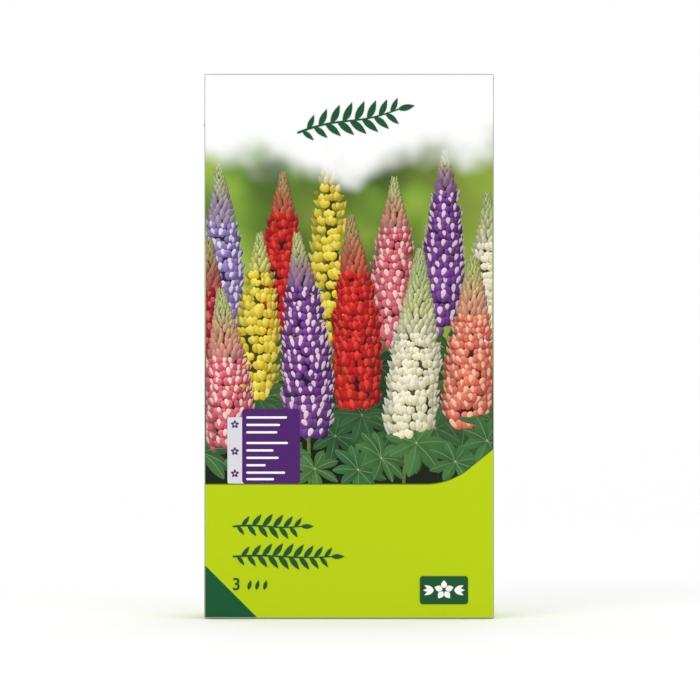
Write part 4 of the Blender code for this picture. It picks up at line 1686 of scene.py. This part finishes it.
PEAT_BROWNS = [
    (0.34, linear(30, 19, 12)),
    (0.48, linear(58, 39, 25)),
    (0.60, linear(84, 58, 38)),
    (0.74, linear(128, 94, 62)),
]
peat = Finish("damp_peat", 0.92, 0.12)
fine = peat.noise(1.5, 4, 0.7)
peat.colour(peat.mix(peat.noise(0.07, 2) * 0.5, peat.ramp(fine, PEAT_BROWNS), linear(38, 25, 16)))
peat.rough(fine * 0.25 + 0.70)
peat.bump(fine, 0.6, 0.9)
coat(peat_mass, peat.material)
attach(peat_mass, "carton")
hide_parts("peat_block")
print("peat", len(peat_mass.data.polygons), "faces")

# %% Crumbs and fibres on the peat
CROWN_XS, CROWN_Y, CROWN_CLEAR = (-38.0, 0.0, 38.0), -0.2, 12.5
PEAT_TOP = 147.9
CRUMBS, FIBRES = 1500, 420
PEAT_SEED, CROWN_SEED = 5, 60
draw = random.Random(PEAT_SEED)
crumbs, fibres = Heap(), Heap()
for _ in range(CRUMBS):
    x, y = draw.uniform(-59.5, 59.5), draw.uniform(-19.4, 19.0)
    if min(math.hypot(x - cx, y - CROWN_Y) for cx in CROWN_XS) < CROWN_CLEAR:
        continue
    grain = draw.uniform(0.7, 2.6) * (0.7 + 0.5 * draw.random())
    spun = turn("z", draw.uniform(0, 360)) @ turn("x", draw.uniform(0, 360))
    place = (x, y, PEAT_TOP + draw.uniform(-0.6, 0.9) + grain * 0.12)
    crumbs.add(CRUMB, (grain, grain * draw.uniform(0.6, 1), grain * draw.uniform(0.5, 0.9)), spun, place)
for _ in range(FIBRES):
    x, y = draw.uniform(-58, 58), draw.uniform(-18, 18)
    length = draw.uniform(3, 9)
    spun = turn("z", draw.uniform(0, 360)) @ turn("x", draw.uniform(72, 104))
    fibres.add(FIBRE, (0.30, 0.30, length), spun, (x, y, PEAT_TOP + 1.0 + draw.uniform(-0.5, 1.0)))
straw = Finish("peat_fibre", 0.85, 0.15)
straw.colour(straw.mix(straw.noise(0.8, 2), linear(108, 78, 48), linear(168, 132, 88)))
straw.bump(straw.noise(3.0, 2), 0.05, 0.5)
crumbs.piece("peat_crumbs", peat.material, "peat")
fibres.piece("peat_fibres", straw.material, "peat")

# %% [markdown]
# A dormant crown is a corky head of old leaf bases with fat pink buds, wiry side roots and a pair of
# hollow cut stalks. The CAD solids have these shapes already, so they keep them and get bark and bud
# colours by height. The buds are found as the highest points of each crown, so the scales that wrap
# them follow any change to the solids, and fine rootlets fringe the head.

# %% Bark and scale finishes
BARK_BROWNS = [
    (0.32, linear(58, 38, 22)),
    (0.48, linear(112, 78, 46)),
    (0.62, linear(150, 112, 70)),
    (0.78, linear(184, 148, 102)),
]
BUDS_FROM, BUDS_PINK = 153.2, 155.5
skin = Finish("root_skin", 0.8, 0.2)
rings = skin.noise(0.9, 4, 0.65)
wave = skin.nodes.new("ShaderNodeTexWave")
wave.wave_type = "BANDS"
wave.bands_direction = "Z"
skin.links.new(skin.place, wave.inputs["Vector"])
wave.inputs["Scale"].default_value = 0.55
wave.inputs["Distortion"].default_value = 6
wave.inputs["Detail"].default_value = 3
bars = Tone(skin, wave.outputs["Fac"])
barred = skin.mix(bars * 0.35, skin.ramp(rings, BARK_BROWNS), linear(70, 46, 28))
pink = skin.mix(rings, linear(150, 58, 62), linear(206, 128, 108))
skin.colour(skin.mix(skin.soft_step(skin.z, BUDS_FROM, BUDS_PINK), barred, pink))
skin.rough(rings * 0.2 + 0.62)
skin.bump(rings + bars * 0.4, 0.7, 0.9)
for k in (1, 2, 3):
    dress(f"lupin_crown_{k}", skin.material)

scale_finish = Finish("bud_scale", 0.45, 0.35)
tinted = scale_finish.mix(scale_finish.noise(0.6, 2), linear(172, 62, 74), linear(232, 150, 130))
green_tip = scale_finish.soft_step(scale_finish.z, 160, 167)
scale_finish.colour(scale_finish.mix(green_tip * 0.7, tinted, linear(150, 176, 92)))
scale_finish.bump(scale_finish.noise(2.5, 3), 0.12, 0.6)
print("bark with", len(BARK_BROWNS), "browns")


# %% Bud scales and rootlets
def curl(side, along):
    """A bud scale: a leaf curled about its long axis, closed at its edges."""
    half = 0.34 * math.sin(math.pi * min(along * 0.94 + 0.04, 1)) ** 0.7 + 0.02
    return side * half, -0.22 * (1 - side * side) * math.sin(math.pi * along * 0.9), along


scale_blade = blade(4, 6, curl)
apply(scale_blade, "SOLIDIFY", thickness=0.05, offset=0)
SCALE = shape_of(scale_blade)
SCALE_FOOT, TIP_APART, ROOTLETS = 149.8, 3.4, 110
scales, rootlets = Heap(), Heap()
for k, cx in enumerate(CROWN_XS):
    draw = random.Random(CROWN_SEED + k)
    crown = bpy.data.objects[f"lupin_crown_{k + 1}"]
    corners = [crown.matrix_world @ v.co / MM for v in crown.data.vertices]
    tips = []
    for corner in sorted(corners, key=lambda c: -c.z):
        if corner.z < BUDS_PINK:
            break
        if all(math.hypot(corner.x - t.x, corner.y - t.y) > TIP_APART for t in tips):
            tips.append(corner)
    for tip in tips:
        for quarter in range(4):
            spun = turn("z", 90 * quarter + draw.uniform(-25, 25)) @ turn("x", draw.uniform(-6, 4))
            tall = (tip.z - 149.5) * draw.uniform(0.78, 0.98)
            away = spun @ np.array((0, -0.9, 0))
            foot = (tip.x + away[0], tip.y + away[1], SCALE_FOOT)
            scales.add(SCALE, (tall * 0.52, tall * 0.42, tall), spun, foot)
    for _ in range(ROOTLETS):
        around = draw.uniform(0, 360)
        spun = turn("z", around) @ turn("x", draw.uniform(38, 116))
        out = out_of_stem(around, draw.uniform(6.5, 10.5))
        length = draw.uniform(4, 11)
        place = np.array((cx, CROWN_Y, draw.uniform(148.2, 151.0))) + out
        rootlets.add(FIBRE, (0.42, 0.42, length), spun, place)
    print("crown", k + 1, "buds", len(tips))
scales.piece("bud_scales", scale_finish.material, "root_skin")
rootlets.piece("rootlets", straw.material, "root_skin")
